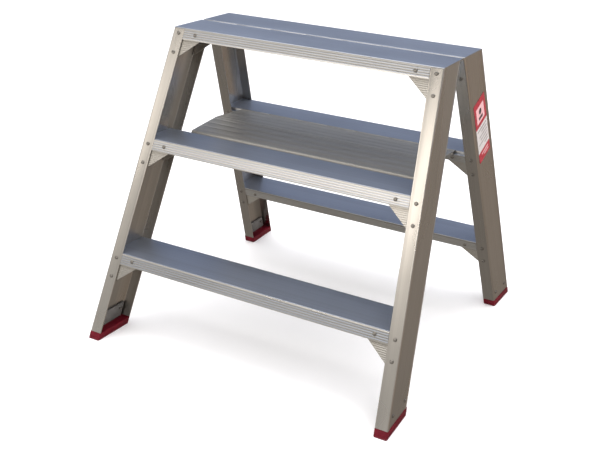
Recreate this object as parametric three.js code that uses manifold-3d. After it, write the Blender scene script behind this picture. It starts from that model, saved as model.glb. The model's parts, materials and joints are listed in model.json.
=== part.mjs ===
// Double-sided folding step ladder: two riveted aluminium frames that hinge along the top
// seam, three treads on each side, and a two-leaf platform between the middle treads.
//
// Millimetres, +Z up. The origin is on the floor, midway between the four feet. +X runs
// along the treads, and the front frame leans towards -Y.
//
// A frame is flat. It is built upright in its own axes and then leaned back by leanAngle:
//   local X  across the frame
//   local Y  through the stiles, 0 on the outer face and stileDepth on the inner face
//   local Z  up the slope, 0 where the outer face meets the top surface
// The rear frame is the same construction turned half a turn about Z.

import * as THREE from 'three';
import { mergeVertices } from 'three/addons/utils/BufferGeometryUtils.js';
import Module from 'manifold-3d';

const wasm = await Module();
wasm.setup();

// ---------------------------------------------------------------- driving dimensions
const height = 840;             // floor to the top surface
const topWidth = 793;           // across the stiles at the top surface
const leanAngle = THREE.MathUtils.degToRad(22.1);   // each frame from the vertical
const flareAngle = THREE.MathUtils.degToRad(4.24);  // each stile from the frame's centre line
const middleHeight = 547.5;     // floor to the middle treads
const bottomHeight = 240;       // floor to the bottom treads
const gap = 0.3;                // between pieces that rest on each other

const stileDepth = 118;         // outer face to inner face
const stileWidth = 35;          // width of a flange
const stileWall = 3.2;
const webRecess = 0.8;          // the web lies back between two raised edges
const webEdge = 10;             // width of each raised edge
const webEdgeSlope = 1;         // and of the slope beside it
const seamSetback = 10;         // inner face of a stile from the seam, at the top surface

const treadPlate = 3;           // thickness of a tread's top
const apronWall = 3.2;
const apronDrop = 30;           // height of a tread's aprons
const shelfWidth = 16.5;        // step along the inner edge of a middle tread
const shelfDrop = 8.5;

const gussetThickness = 2.5;
const gussetSideGap = 5;        // from the web to a gusset's outer edge, behind the flange
const gussetRise = 23;          // how far it reaches up behind the apron
const gussetAcross = 55;        // visible leg along the apron
const gussetDown = 48;          // visible leg along the flange

const rivetRadius = 2.4;
const rivetHeadRadius = 5.2;
const rivetHeadHeight = 2;
const rivetClearance = 0.5;     // between a shank and its hole
const rivetSides = 8;
const flangeRivetEdge = 17;     // from the flange's inner edge, into the flange
const apronRivetEdge = 37.5;    // and out along the apron
const rivetDrop = { outer: 16, inner: 20 };   // below the tread's top, along the slope
const lowerRivetDrop = 70;

const footHeight = 20;          // red sole below the stile's end
const footProud = 0.8;          // the sole stands out past the stile
const tongueThickness = 5;
const tongueRise = 40;          // above the sole
const tongueInset = 6;          // clear of the stile's flanges
const footRivetRise = 26;       // above the sole
const footRivetInset = 23;      // from the outer and the inner face

const barrelRadius = 3.6;       // hinge knuckles
const pinRadius = 1.8;
const pinClearance = 0.4;       // between a pin and its bore
const barrelSides = 16;
const knuckleCount = 7;
const knuckleGap = 0.5;         // between neighbouring knuckles
const knuckleClearance = 0.5;   // between a knuckle and the leaf it turns in
const hingeStrip = 2.2;         // thickness of a hinge leaf
const hingeStripDrop = 22;      // height of the top hinge's leaves
const seamClearance = 1.2;      // edge of a top tread from the knuckles
const stripMargin = 2;          // end of a hinge leaf's strip from the nearest rivet head
const hingeEnd = 3;             // the hinge stops short of the ends of the top treads

const platformSideGap = 32;     // from each end of the platform to the flange beside it
const leafPlate = 2.6;          // thickness of a platform leaf's top
const leafEdge = 8;             // height of a leaf's edges
const leafEdgeWall = 3;
const platformCrown = 11;       // rise of the platform at its centre
const platformTongue = 5;       // lip on the front leaf that rests on the front shelf
const tongueLipThickness = 2.4;
const platformEdgeGap = 0.6;    // front edge of the platform from the tread beside it
const pivotRise = 0.9;          // from the hinge plate up to the rear platform hinge's knuckles
const pivotClearance = 1;       // from those knuckles to the step behind them
const platePlay = 0.5;          // from the hinge plate to the edge of its shelf
const pivotWeb = 2.4;           // thickness of the web that carries the knuckles
const skirtClearance = 1.5;     // from the rear leaf's edge to the middle tread

const labelMargin = 8;          // from the label to the slope of the raised edge
const labelLength = 190;
const labelThickness = 0.5;
const labelHeight = 618;        // floor to the middle of the label

// ---------------------------------------------------------------- derived places
const lean = Math.tan(leanAngle);
const sectionTurn = Math.cos(flareAngle);
const topDepth = seamSetback + stileDepth / Math.cos(leanAngle);
const outerY = (z) => -(topDepth + (height - z) * lean);
const innerY = (z) => -(seamSetback + (height - z) * lean);
const slopeZ = (z, y = 0) => (z - height + y * Math.sin(leanAngle)) / Math.cos(leanAngle);
const stileX = (z, inset) => topWidth / 2 - z * Math.tan(flareAngle) - inset / sectionTurn;

const rivetHoleRadius = rivetRadius + rivetClearance;
const boreRadius = pinRadius + pinClearance;
const flangeRivetInset = stileWidth - flangeRivetEdge;      // from the stile's outer edge
const apronRivetInset = stileWidth + apronRivetEdge;
const gussetLap = stileWidth - stileWall - webRecess - gussetSideGap;   // reach behind the flange
const gussetDepth = Math.max(stileWall, apronWall) + gap;   // its face behind the frame's face
const labelWidth = stileDepth - 2 * (webEdge + webEdgeSlope + labelMargin);
const seamHalfGap = barrelRadius + seamClearance;           // edge of a top tread from the seam

const hingeZ = height - barrelRadius;                       // axis of the top hinge
const shelfZ = middleHeight - shelfDrop;
const plateZ = shelfZ + gap;                                // underside of what rests on a shelf
const pivotY = -innerY(middleHeight) + shelfWidth - barrelRadius - pivotClearance;
const pivotZ = plateZ + hingeStrip + pivotRise + barrelRadius;          // rear platform hinge
const crownZ = middleHeight + platformCrown - leafEdge;     // centre hinge of the platform
const frontEdgeY = innerY(middleHeight) - platformEdgeGap;  // front edge of the platform
const flangeEdge = stileX(slopeZ(middleHeight, stileDepth), stileWidth);
const platformWidth = 2 * (flangeEdge - platformSideGap);

// ---------------------------------------------------------------- materials
const metal = (color, roughness) => new THREE.MeshStandardMaterial({ color, roughness, metalness: 0.9 });
const plastic = (color, roughness) => new THREE.MeshStandardMaterial({ color, roughness, metalness: 0 });
const stileMetal = () => metal(0xb9b1a8, 0.45);
const treadMetal = () => metal(0xa9acb2, 0.4);
const gussetMetal = () => metal(0xc9c2b8, 0.45);
const rivetMetal = () => metal(0x8d8a86, 0.35);
const platformMetal = () => metal(0x8f8e88, 0.5);
const hingeMetal = () => metal(0x9a9a98, 0.4);
const footPlastic = () => plastic(0x8a0f2a, 0.5);
const labelFilm = () => plastic(0xa8242f, 0.35);

// ---------------------------------------------------------------- shapes
const basis = (x, y, z) => new THREE.Matrix4().makeBasis(
  new THREE.Vector3(...x), new THREE.Vector3(...y), new THREE.Vector3(...z));
const alongX = basis([0, 1, 0], [0, 0, 1], [1, 0, 0]);      // a (Y, Z) outline, drawn out along X
const alongY = basis([1, 0, 0], [0, 0, 1], [0, -1, 0]);     // an (X, Z) outline, drawn out along -Y
const alongZ = new THREE.Matrix4();                         // an (X, Y) outline, drawn out along Z

function toSolid(geometry) {
  const bare = geometry.clone();
  bare.deleteAttribute('normal');
  bare.deleteAttribute('uv');
  const merged = mergeVertices(bare, 1e-4);
  return new wasm.Manifold(new wasm.Mesh({
    numProp: 3,
    vertProperties: new Float32Array(merged.attributes.position.array),
    triVerts: new Uint32Array(merged.index.array),
  }));
}

function toGeometry(solid) {
  const mesh = solid.getMesh();
  const geometry = new THREE.BufferGeometry();
  geometry.setAttribute('position', new THREE.BufferAttribute(mesh.vertProperties, 3));
  geometry.setIndex(new THREE.BufferAttribute(mesh.triVerts, 1));
  geometry.computeVertexNormals();
  return geometry;
}

// A solid drawn out from an outline: start is where it begins along the drawing direction.
function extrude(points, direction, start, length, place = new THREE.Matrix4()) {
  const shape = new THREE.Shape(points.map(([a, b]) => new THREE.Vector2(a, b)));
  const geometry = new THREE.ExtrudeGeometry(shape, { depth: length, bevelEnabled: false });
  geometry.translate(0, 0, start);
  return toSolid(geometry.applyMatrix4(direction).applyMatrix4(place));
}

const rectangle = (x0, y0, x1, y1) => [[x0, y0], [x1, y0], [x1, y1], [x0, y1]];

// A round bar along X.
function bar(radius, y, z, x0, x1) {
  const geometry = new THREE.CylinderGeometry(radius, radius, x1 - x0, barrelSides);
  geometry.rotateZ(Math.PI / 2).translate((x0 + x1) / 2, y, z);
  return toSolid(geometry);
}

// Everything between two heights, wide enough to hold the whole ladder.
function levelSlab(z0, z1, place = new THREE.Matrix4()) {
  const reach = 4 * height;
  const geometry = new THREE.BoxGeometry(reach, reach, z1 - z0).translate(0, 0, (z0 + z1) / 2);
  return toSolid(geometry.applyMatrix4(place));
}

// A blind rivet along an axis: from start, past a surface at face, to a domed head.
function rivet(start, face, place) {
  const end = face + gap + rivetHeadHeight / 2;
  const shank = new THREE.CylinderGeometry(rivetRadius, rivetRadius, end - start, rivetSides);
  shank.translate(0, (start + end) / 2, 0);
  const head = new THREE.CylinderGeometry(rivetHeadRadius / 2, rivetHeadRadius, rivetHeadHeight, rivetSides);
  head.translate(0, end, 0);
  return toSolid(shank.applyMatrix4(place)).add(toSolid(head.applyMatrix4(place)));
}

function rivetHole(from, to, place) {
  const hole = new THREE.CylinderGeometry(rivetHoleRadius, rivetHoleRadius, to - from, rivetSides);
  return toSolid(hole.translate(0, (from + to) / 2, 0).applyMatrix4(place));
}

// ---------------------------------------------------------------- frame places
const frameMatrix = new THREE.Matrix4().makeRotationX(-leanAngle).setPosition(0, -topDepth, height);
const toFrame = frameMatrix.clone().invert();
const sides = [-1, 1];
const faces = ['outer', 'inner'];
const treadNames = ['top', 'middle', 'bottom'];
const treadHeights = { top: height, middle: middleHeight, bottom: bottomHeight };

// A stile's own axes: X inwards from its outer edge, Y through it and Z up its length.
function stileMatrix(side) {
  const turned = new THREE.Matrix4().makeRotationY(-side * flareAngle);
  return turned.setPosition(side * topWidth / 2, 0, 0);
}

const stileLength = (height + stileDepth) / Math.cos(leanAngle) / sectionTurn;

// An outline in a stile's section, for either side: u inwards from the outer edge.
const sectionFor = (side, outline) => outline.map(([u, v]) => [-side * u, v]);

// Height along the slope of a tread's top edge, on the frame's outer or inner face.
const edgeZ = (tread, face) => slopeZ(treadHeights[tread], face === 'outer' ? 0 : stileDepth);

// Places of the three rivets at one corner of a tread: two in the flange, one in the apron.
function cornerRivets(side, tread, face) {
  const top = edgeZ(tread, face);
  const upper = top - rivetDrop[face];
  const lower = top - lowerRivetDrop;
  return [
    [side * stileX(upper, flangeRivetInset), upper],
    [side * stileX(lower, flangeRivetInset), lower],
    [side * stileX(upper, apronRivetInset), upper],
  ];
}

// An axis through the frame at (x, z). Its +Y leads outwards from the face, which is at 0.
function faceAxis(face, x, z) {
  const outward = new THREE.Matrix4().makeRotationX(face === 'outer' ? Math.PI : 0);
  return outward.setPosition(x, face === 'outer' ? 0 : stileDepth, z);
}

// Two rivets through a stile's web into its foot. +Y leads outwards from the web's recess.
function footRivetAxes(side) {
  return [footRivetInset, stileDepth - footRivetInset].map((v) => {
    const z = slopeZ(footHeight + footRivetRise, v) / sectionTurn;
    const outward = new THREE.Matrix4().makeRotationZ(-side * Math.PI / 2);
    outward.setPosition(-side * webRecess, v, z);
    return outward.premultiply(stileMatrix(side));
  });
}

// ---------------------------------------------------------------- pieces of a frame
function stile(side) {
  const w = stileWidth;
  const t = stileWall;
  const d = stileDepth;
  const slope = webEdge + webEdgeSlope;
  const outline = [
    [0, 0], [w, 0], [w, t], [t + webRecess, t], [t + webRecess, d - t], [w, d - t], [w, d], [0, d],
    [0, d - webEdge], [webRecess, d - slope], [webRecess, slope], [0, webEdge],
  ];
  let solid = extrude(sectionFor(side, outline), alongZ, -stileLength, 2 * stileLength, stileMatrix(side));
  solid = solid.intersect(levelSlab(footHeight + gap, height - treadPlate - gap, toFrame));
  for (const tread of treadNames) {
    for (const face of faces) {
      for (const [x, z] of cornerRivets(side, tread, face).slice(0, 2)) {
        solid = solid.subtract(rivetHole(-2 * stileWall, stileWall, faceAxis(face, x, z)));
      }
    }
  }
  for (const axis of footRivetAxes(side)) {
    solid = solid.subtract(rivetHole(-2 * stileWall, stileWall, axis));
  }
  return solid;
}

// The space that a stile's walls and all outside it take up, plus a gap. It trims a tread's end.
function stileRoom(side, tread) {
  const w = stileWidth + gap;
  const t = stileWall + gap;
  const d = stileDepth;
  const out = topWidth;
  const outline = [
    [-out, -out], [w, -out], [w, t], [t + webRecess, t], [t + webRecess, d - t], [w, d - t],
    [w, d + out], [-out, d + out],
  ];
  const room = extrude(sectionFor(side, outline), alongZ, -stileLength, 2 * stileLength, stileMatrix(side));
  const ceiling = tread === 'top' ? height - treadPlate : height + stileDepth;
  return room.intersect(levelSlab(-stileDepth, ceiling, toFrame));
}

// A tread: a level top with an apron along each long edge, parallel to the frame's faces.
function tread(name) {
  const z = treadHeights[name];
  const wall = apronWall / Math.cos(leanAngle);
  const low = z - apronDrop;
  const under = z - treadPlate;
  const outerApron = [
    [outerY(z), z], [outerY(low), low], [outerY(low) + wall, low], [outerY(under) + wall, under],
  ];
  const shelf = shelfZ;
  const shelfUnder = shelf - treadPlate;
  const shelfY = innerY(z) - shelfWidth;
  const topEdge = name === 'top' ? -seamHalfGap : innerY(z);
  const innerEdges = {
    plain: [[innerY(under) - wall, under], [innerY(low) - wall, low], [innerY(low), low],
      [innerY(under), under], [topEdge, under], [topEdge, z]],
    shelved: [[shelfY - treadPlate, under], [shelfY - treadPlate, shelfUnder],
      [innerY(shelfUnder) - wall, shelfUnder], [innerY(low) - wall, low], [innerY(low), low],
      [innerY(shelf), shelf], [shelfY, shelf], [shelfY, z]],
  };
  const outline = [...outerApron, ...innerEdges[name === 'middle' ? 'shelved' : 'plain']];
  const reach = name === 'top' ? topWidth / 2 : topWidth;
  let solid = extrude(outline, alongX, -reach, 2 * reach);
  for (const side of sides) {
    const corners = faces.map((face) => [face, cornerRivets(side, name, face)[2]]);
    solid = solid.subtract(stileRoom(side, name).transform(frameMatrix.elements));
    for (const [face, [x, zr]] of corners) {
      const axis = faceAxis(face, x, zr).premultiply(frameMatrix);
      solid = solid.subtract(rivetHole(-2 * apronWall, apronWall, axis));
    }
  }
  return solid;
}

// A corner plate behind the flange and the apron, with its three rivets. Its long edge runs
// from the apron's lower edge to the flange's inner edge, and on behind both.
function gusset(side, name, face) {
  const top = edgeZ(name, face);
  const corner = top - apronDrop / Math.cos(leanAngle);   // the apron's lower edge meets the flange
  const fall = gussetDown / gussetAcross;
  const lap = gussetLap / sectionTurn;
  const depth = gussetDepth;
  const roof = (name === 'middle' && face === 'inner' ? shelfDrop : 0) + treadPlate + gap;
  const roofSlope = face === 'inner' ? -(depth + gussetThickness) * lean : depth * lean;
  const high = Math.min(corner + gussetRise, top - roof / Math.cos(leanAngle) + roofSlope);
  const low = corner - (gussetAcross + lap) * fall;
  const outer = (z) => stileX(z, stileWidth - gussetLap);
  const tip = stileX(corner, stileWidth) - gussetAcross - (high - corner) * (1 / fall + Math.tan(flareAngle));
  const outline = [[outer(high), high], [tip, high], [outer(low), low]].map(([x, z]) => [side * x, z]);
  const start = face === 'outer' ? -depth - gussetThickness : depth - stileDepth;
  let solid = extrude(outline, alongY, start, gussetThickness);
  for (const [x, z] of cornerRivets(side, name, face)) {
    solid = solid.add(rivet(-depth - gussetThickness / 2, 0, faceAxis(face, x, z)));
  }
  return solid;
}

// A moulded foot: a sole under the stile's end, and a tongue up the inside of its web.
function foot(side) {
  const p = footProud;
  const sole = rectangle(-p, -p, stileWidth + p, stileDepth + p);
  const inside = stileWall + webRecess + gap;
  const tongue = rectangle(inside, stileWall + tongueInset, inside + tongueThickness,
    stileDepth - stileWall - tongueInset);
  const draw = (outline) => extrude(sectionFor(side, outline), alongZ, -stileLength, 2 * stileLength,
    stileMatrix(side));
  let solid = draw(sole).intersect(levelSlab(0, footHeight, toFrame));
  solid = solid.add(draw(tongue).intersect(levelSlab(footHeight / 2, footHeight + tongueRise, toFrame)));
  for (const axis of footRivetAxes(side)) {
    solid = solid.subtract(rivetHole(-4 * tongueThickness, 0, axis));
  }
  return solid;
}

const footRivet = (axis) => rivet(-(stileWall + gap + tongueThickness), 0, axis);

// ---------------------------------------------------------------- hinges
// Ends of the knuckles along a hinge. Even ones belong to the first leaf, odd to the second.
function knuckles(length, which) {
  const pitch = length / knuckleCount;
  const list = [];
  for (let i = which; i < knuckleCount; i += 2) {
    list.push([-length / 2 + i * pitch, -length / 2 + (i + 1) * pitch]);
  }
  return list;
}

// Adds one leaf's knuckles to a solid, clears room for the other leaf's, and bores them all.
function withKnuckles(solid, y, z, length, which) {
  let result = solid;
  for (const [x0, x1] of knuckles(length, which)) {
    result = result.add(bar(barrelRadius, y, z, x0 + knuckleGap / 2, x1 - knuckleGap / 2));
  }
  for (const [x0, x1] of knuckles(length, 1 - which)) {
    const room = barrelRadius + knuckleClearance;
    result = result.subtract(bar(room, y, z, x0 - knuckleGap / 2, x1 + knuckleGap / 2));
  }
  return result.subtract(bar(boreRadius, y, z, -length, length));
}

const topHingeLength = topWidth - 2 * hingeEnd;

// One leaf of the top hinge: a strip down the top tread's inner apron, and its knuckles.
function topHingeLeaf(which) {
  const clear = gap / Math.cos(leanAngle);
  const webTop = height - treadPlate - gap;
  const webLow = webTop - hingeStrip;
  const low = height - hingeStripDrop;
  const wall = hingeStrip / Math.cos(leanAngle);
  const web = [[innerY(webTop) + clear, webTop], [innerY(webTop) + clear, webLow], [0, webLow], [0, webTop]];
  const strip = [[innerY(webTop) + clear, webTop], [innerY(low) + clear, low],
    [innerY(low) + clear + wall, low], [innerY(webTop) + clear + wall, webTop]];
  const stripReach = stileX(edgeZ('top', 'inner'), apronRivetInset) - rivetHeadRadius - stripMargin;
  const solid = extrude(web, alongX, -topHingeLength / 2, topHingeLength)
    .add(extrude(strip, alongX, -stripReach, 2 * stripReach));
  return withKnuckles(solid, 0, hingeZ, topHingeLength, which);
}

// The plate on the rear middle tread's shelf that carries the platform. Drawn in the level frame.
function platformHingePlate() {
  const edge = -innerY(middleHeight);
  const plate = rectangle(edge + platePlay, plateZ, edge + shelfWidth - 2 * platePlay, plateZ + hingeStrip);
  const web = rectangle(pivotY - pivotWeb / 2, plateZ + hingeStrip / 2, pivotY + pivotWeb / 2, pivotZ);
  const solid = extrude(plate, alongX, -platformWidth / 2, platformWidth)
    .add(extrude(web, alongX, -platformWidth / 2, platformWidth));
  return withKnuckles(solid, pivotY, pivotZ, platformWidth, 0);
}

const hingePin = (y, z, length) => bar(pinRadius, y, z, -length / 2, length / 2);

// ---------------------------------------------------------------- platform leaves
const crownTop = middleHeight + platformCrown;

// The rear leaf, from the rear hinge to the platform's centre.
function rearLeaf() {
  const fall = platformCrown / pivotY;
  const top = (y) => crownTop - y * fall;
  const skirt = shelfWidth - barrelRadius + skirtClearance;
  const inner = pivotY - skirt;
  const outline = [
    [pivotY, top(pivotY)], [knuckleGap, top(0)], [knuckleGap, crownZ], [leafEdgeWall, crownZ],
    [leafEdgeWall, top(leafEdgeWall) - leafPlate],
    [inner - leafEdgeWall, top(inner) - leafPlate], [inner - leafEdgeWall, top(inner) - leafEdge],
    [inner, top(inner) - leafEdge], [inner, top(inner) - leafPlate], [pivotY, top(pivotY) - leafPlate],
  ];
  const solid = extrude(outline, alongX, -platformWidth / 2, platformWidth);
  const hinged = withKnuckles(solid, pivotY, pivotZ, platformWidth, 1);
  return withKnuckles(hinged, 0, crownZ, platformWidth, 0);
}

// The front leaf, from the platform's centre to the lip on the front middle tread's shelf.
function frontLeaf() {
  const fall = platformCrown / -frontEdgeY;
  const top = (y) => crownTop + y * fall;
  const low = plateZ;
  const lip = frontEdgeY - platformTongue;
  const outline = [
    [frontEdgeY, middleHeight], [frontEdgeY, low + tongueLipThickness], [lip, low + tongueLipThickness],
    [lip, low], [frontEdgeY + leafEdgeWall, low],
    [frontEdgeY + leafEdgeWall, top(frontEdgeY + leafEdgeWall) - leafPlate],
    [-leafEdgeWall, top(-leafEdgeWall) - leafPlate], [-leafEdgeWall, crownZ],
    [-knuckleGap, crownZ], [-knuckleGap, top(0)],
  ];
  const solid = extrude(outline, alongX, -platformWidth / 2, platformWidth);
  return withKnuckles(solid, 0, crownZ, platformWidth, 1);
}

// ---------------------------------------------------------------- label
function label(side) {
  const v0 = (stileDepth - labelWidth) / 2;
  const outline = rectangle(webRecess - gap - labelThickness, v0, webRecess - gap, v0 + labelWidth);
  const z = slopeZ(labelHeight, stileDepth / 2) / sectionTurn;
  return extrude(sectionFor(side, outline), alongZ, z - labelLength / 2, labelLength, stileMatrix(side));
}

// ---------------------------------------------------------------- assembly
const ladder = new THREE.Group();
ladder.name = 'step_ladder';

function place(parent, name, solid, material) {
  const mesh = new THREE.Mesh(toGeometry(solid), material);
  mesh.name = name;
  parent.add(mesh);
}

function frame(end, turn) {
  const level = new THREE.Group();
  level.rotation.z = turn;
  const leaned = new THREE.Group();
  leaned.position.set(0, -topDepth, height);
  leaned.rotation.x = -leanAngle;
  level.add(leaned);
  ladder.add(level);
  for (const side of sides) {
    const hand = (side > 0) === (turn === 0) ? 'right' : 'left';
    place(leaned, `${end}_${hand}_stile`, stile(side), stileMetal());
    place(leaned, `${end}_${hand}_foot`, foot(side), footPlastic());
    footRivetAxes(side).forEach((axis, i) => {
      place(leaned, `${end}_${hand}_foot_rivet_${i + 1}`, footRivet(axis), rivetMetal());
    });
    for (const name of treadNames) {
      for (const face of faces) {
        place(leaned, `${end}_${hand}_${name}_${face}_gusset`, gusset(side, name, face), gussetMetal());
      }
    }
  }
  for (const name of treadNames) {
    place(level, `${end}_${name}_tread`, tread(name), treadMetal());
  }
  return { level, leaned };
}

const front = frame('front', 0);
const rear = frame('rear', Math.PI);
place(front.level, 'front_top_hinge_leaf', topHingeLeaf(0), hingeMetal());
place(rear.level, 'rear_top_hinge_leaf', topHingeLeaf(1), hingeMetal());
place(ladder, 'top_hinge_pin', hingePin(0, hingeZ, topHingeLength), rivetMetal());
place(rear.leaned, 'label', label(-1), labelFilm());
place(ladder, 'platform_hinge_plate', platformHingePlate(), hingeMetal());
place(ladder, 'platform_hinge_pin', hingePin(pivotY, pivotZ, platformWidth), rivetMetal());
place(ladder, 'rear_platform_leaf', rearLeaf(), platformMetal());
place(ladder, 'front_platform_leaf', frontLeaf(), platformMetal());
place(ladder, 'platform_centre_pin', hingePin(0, crownZ, platformWidth), rivetMetal());

export default ladder;
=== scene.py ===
"""Folding step ladder in extruded aluminium, with moulded plastic feet.

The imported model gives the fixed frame: each piece here stands for one or more of its nodes and
rides on their body. Everything is in metres, +Z up. +X runs along the treads, the front frame
leans towards -Y, and the rear frame is the same construction turned half a turn about Z.

A frame is worked out in its own axes before it is leaned back: local X across it, local Y
through the stiles (0 on the outer face) and local Z up the slope (0 at the top surface).
"""

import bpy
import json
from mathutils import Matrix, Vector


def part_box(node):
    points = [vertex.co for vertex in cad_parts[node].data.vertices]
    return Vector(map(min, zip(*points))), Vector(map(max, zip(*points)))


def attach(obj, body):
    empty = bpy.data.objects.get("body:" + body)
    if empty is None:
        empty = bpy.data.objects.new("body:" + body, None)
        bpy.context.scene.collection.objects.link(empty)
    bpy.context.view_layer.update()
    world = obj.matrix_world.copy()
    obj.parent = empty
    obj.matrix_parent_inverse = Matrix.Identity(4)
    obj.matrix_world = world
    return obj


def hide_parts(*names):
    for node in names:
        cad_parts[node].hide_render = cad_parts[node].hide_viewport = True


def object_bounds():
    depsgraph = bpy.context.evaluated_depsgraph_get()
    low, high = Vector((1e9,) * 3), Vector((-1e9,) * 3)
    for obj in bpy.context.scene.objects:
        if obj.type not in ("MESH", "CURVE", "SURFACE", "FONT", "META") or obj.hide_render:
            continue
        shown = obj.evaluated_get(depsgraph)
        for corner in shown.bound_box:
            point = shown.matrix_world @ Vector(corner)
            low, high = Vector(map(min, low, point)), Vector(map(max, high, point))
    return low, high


bl_info = {
    "name": "Folding step ladder",
    "version": (1, 0, 0),
    "blender": (4, 5, 0),
    "location": "3D View > Sidebar > Ladder",
    "description": "Builds the visible pieces, finishes and stage of a folding step ladder",
    "category": "Add Mesh",
}

import json
import math

import bmesh
import bpy
from bpy.props import FloatProperty, FloatVectorProperty, IntProperty, PointerProperty
from mathutils import Matrix, Vector

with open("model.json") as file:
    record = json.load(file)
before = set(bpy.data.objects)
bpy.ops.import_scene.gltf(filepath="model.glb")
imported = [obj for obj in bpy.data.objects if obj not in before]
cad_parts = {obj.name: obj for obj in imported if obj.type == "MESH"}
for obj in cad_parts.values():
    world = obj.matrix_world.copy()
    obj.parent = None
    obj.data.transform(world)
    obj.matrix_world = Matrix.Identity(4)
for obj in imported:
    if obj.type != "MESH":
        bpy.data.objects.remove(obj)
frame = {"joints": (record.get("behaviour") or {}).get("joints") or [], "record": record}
CAD_BOX = [list(corner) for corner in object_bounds()]

# ------------------------------------------------------------------ places from the frame
SIDES = (-1, 1)
FACES = ("outer", "inner")
ENDS = ("front", "rear")
JOINTS = {joint["name"]: joint for joint in frame["joints"]}
BODY_OF = {
    node: body
    for body, nodes in frame["record"]["behaviour"]["bodies"].items()
    for node in nodes
}

HEIGHT = CAD_BOX[1][2]
LEAN = math.radians(JOINTS["frame_fold"]["range_deg"][1]) / 2
TREAD_HEIGHTS = {name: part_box(f"front_{name}_tread")[1].z for name in ("top", "middle", "bottom")}
TREAD_LOW, TREAD_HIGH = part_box("front_top_tread")
STILE_LOW, STILE_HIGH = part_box("front_right_stile")
TOP_WIDTH = 2 * TREAD_HIGH.x
APRON_DROP = HEIGHT - TREAD_LOW.z
TOP_DEPTH = -TREAD_LOW.y - APRON_DROP * math.tan(LEAN)
SEAM_SETBACK = -STILE_HIGH.y - (HEIGHT - STILE_HIGH.z) * math.tan(LEAN)
STILE_DEPTH = (TOP_DEPTH - SEAM_SETBACK) * math.cos(LEAN)
FLARE = math.atan((STILE_HIGH.x - TOP_WIDTH / 2) / (HEIGHT - STILE_LOW.z) * math.cos(LEAN))
STILE_LENGTH = (HEIGHT + STILE_DEPTH) / math.cos(LEAN) / math.cos(FLARE)
TOP_HINGE = Vector(JOINTS["frame_fold"]["pos_m"])
PLATFORM_HINGE = Vector(JOINTS["rear_leaf_fold"]["pos_m"])
CENTRE_HINGE = Vector(JOINTS["front_leaf_fold"]["pos_m"])
TOP_HINGE_LENGTH = 2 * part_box("rear_top_hinge_leaf")[1].x
PLATFORM_WIDTH = 2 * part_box("rear_platform_leaf")[1].x
PLATFORM_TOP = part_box("rear_platform_leaf")[1].z

UP_Z = Matrix.Identity(4)
ALONG_X = Matrix(((0, 0, 1, 0), (1, 0, 0, 0), (0, 1, 0, 0), (0, 0, 0, 1)))   # an outline in (Y, Z)


def outer_y(z):
    """World Y of the front frame's outer face at a height."""
    return -(TOP_DEPTH + (HEIGHT - z) * math.tan(LEAN))


def inner_y(z):
    """World Y of the front frame's inner face at a height."""
    return -(SEAM_SETBACK + (HEIGHT - z) * math.tan(LEAN))


def slope_z(z, y=0.0):
    """Local Z, in a frame, of a height above the floor at a depth through the stiles."""
    return (z - HEIGHT + y * math.sin(LEAN)) / math.cos(LEAN)


def stile_x(z, inset):
    """Local X of a line on a stile, inset from its outer edge."""
    return TOP_WIDTH / 2 - z * math.tan(FLARE) - inset / math.cos(FLARE)


def level_matrix(end):
    """The level axes of a frame's treads."""
    return Matrix.Rotation(math.pi if end == "rear" else 0.0, 4, "Z")


def frame_matrix():
    """The leaned axes of a frame, in its level axes."""
    return Matrix.Translation((0, -TOP_DEPTH, HEIGHT)) @ Matrix.Rotation(-LEAN, 4, "X")


def stile_matrix(side):
    """A stile's own axes in its frame: X inwards from its outer edge, Z up its length."""
    turned = Matrix.Rotation(-side * FLARE, 4, "Y") @ Matrix.Scale(-side, 4, (1, 0, 0))
    return Matrix.Translation((side * TOP_WIDTH / 2, 0, 0)) @ turned


def face_matrix(face, x, z):
    """Axes on a frame's face at (x, z), with +Y leading outwards."""
    turned = Matrix.Rotation(math.pi if face == "outer" else 0.0, 4, "X")
    return Matrix.Translation((x, 0.0 if face == "outer" else STILE_DEPTH, z)) @ turned


def hand(end, side):
    """Which hand a frame's side is on, seen from the front."""
    return "right" if (side > 0) == (end == "front") else "left"


# ------------------------------------------------------------------ sizes and colours
def linear(code):
    """Linear RGB of an sRGB colour such as #8a0f2a."""
    parts = [int(code[i:i + 2], 16) / 255 for i in (1, 3, 5)]
    return tuple(c / 12.92 if c <= 0.04045 else ((c + 0.055) / 1.055) ** 2.4 for c in parts)


def size_mm(name, description, millimetres):
    """A length that a user may change, given in millimetres and kept in metres."""
    return FloatProperty(name=name, description=description, default=millimetres / 1000,
                         min=0.0, precision=5, unit="LENGTH", subtype="DISTANCE")


def colour(name, description, code):
    """A colour that a user may change."""
    return FloatVectorProperty(name=name, description=description, default=linear(code),
                               size=3, min=0.0, max=1.0, subtype="COLOR")


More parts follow.
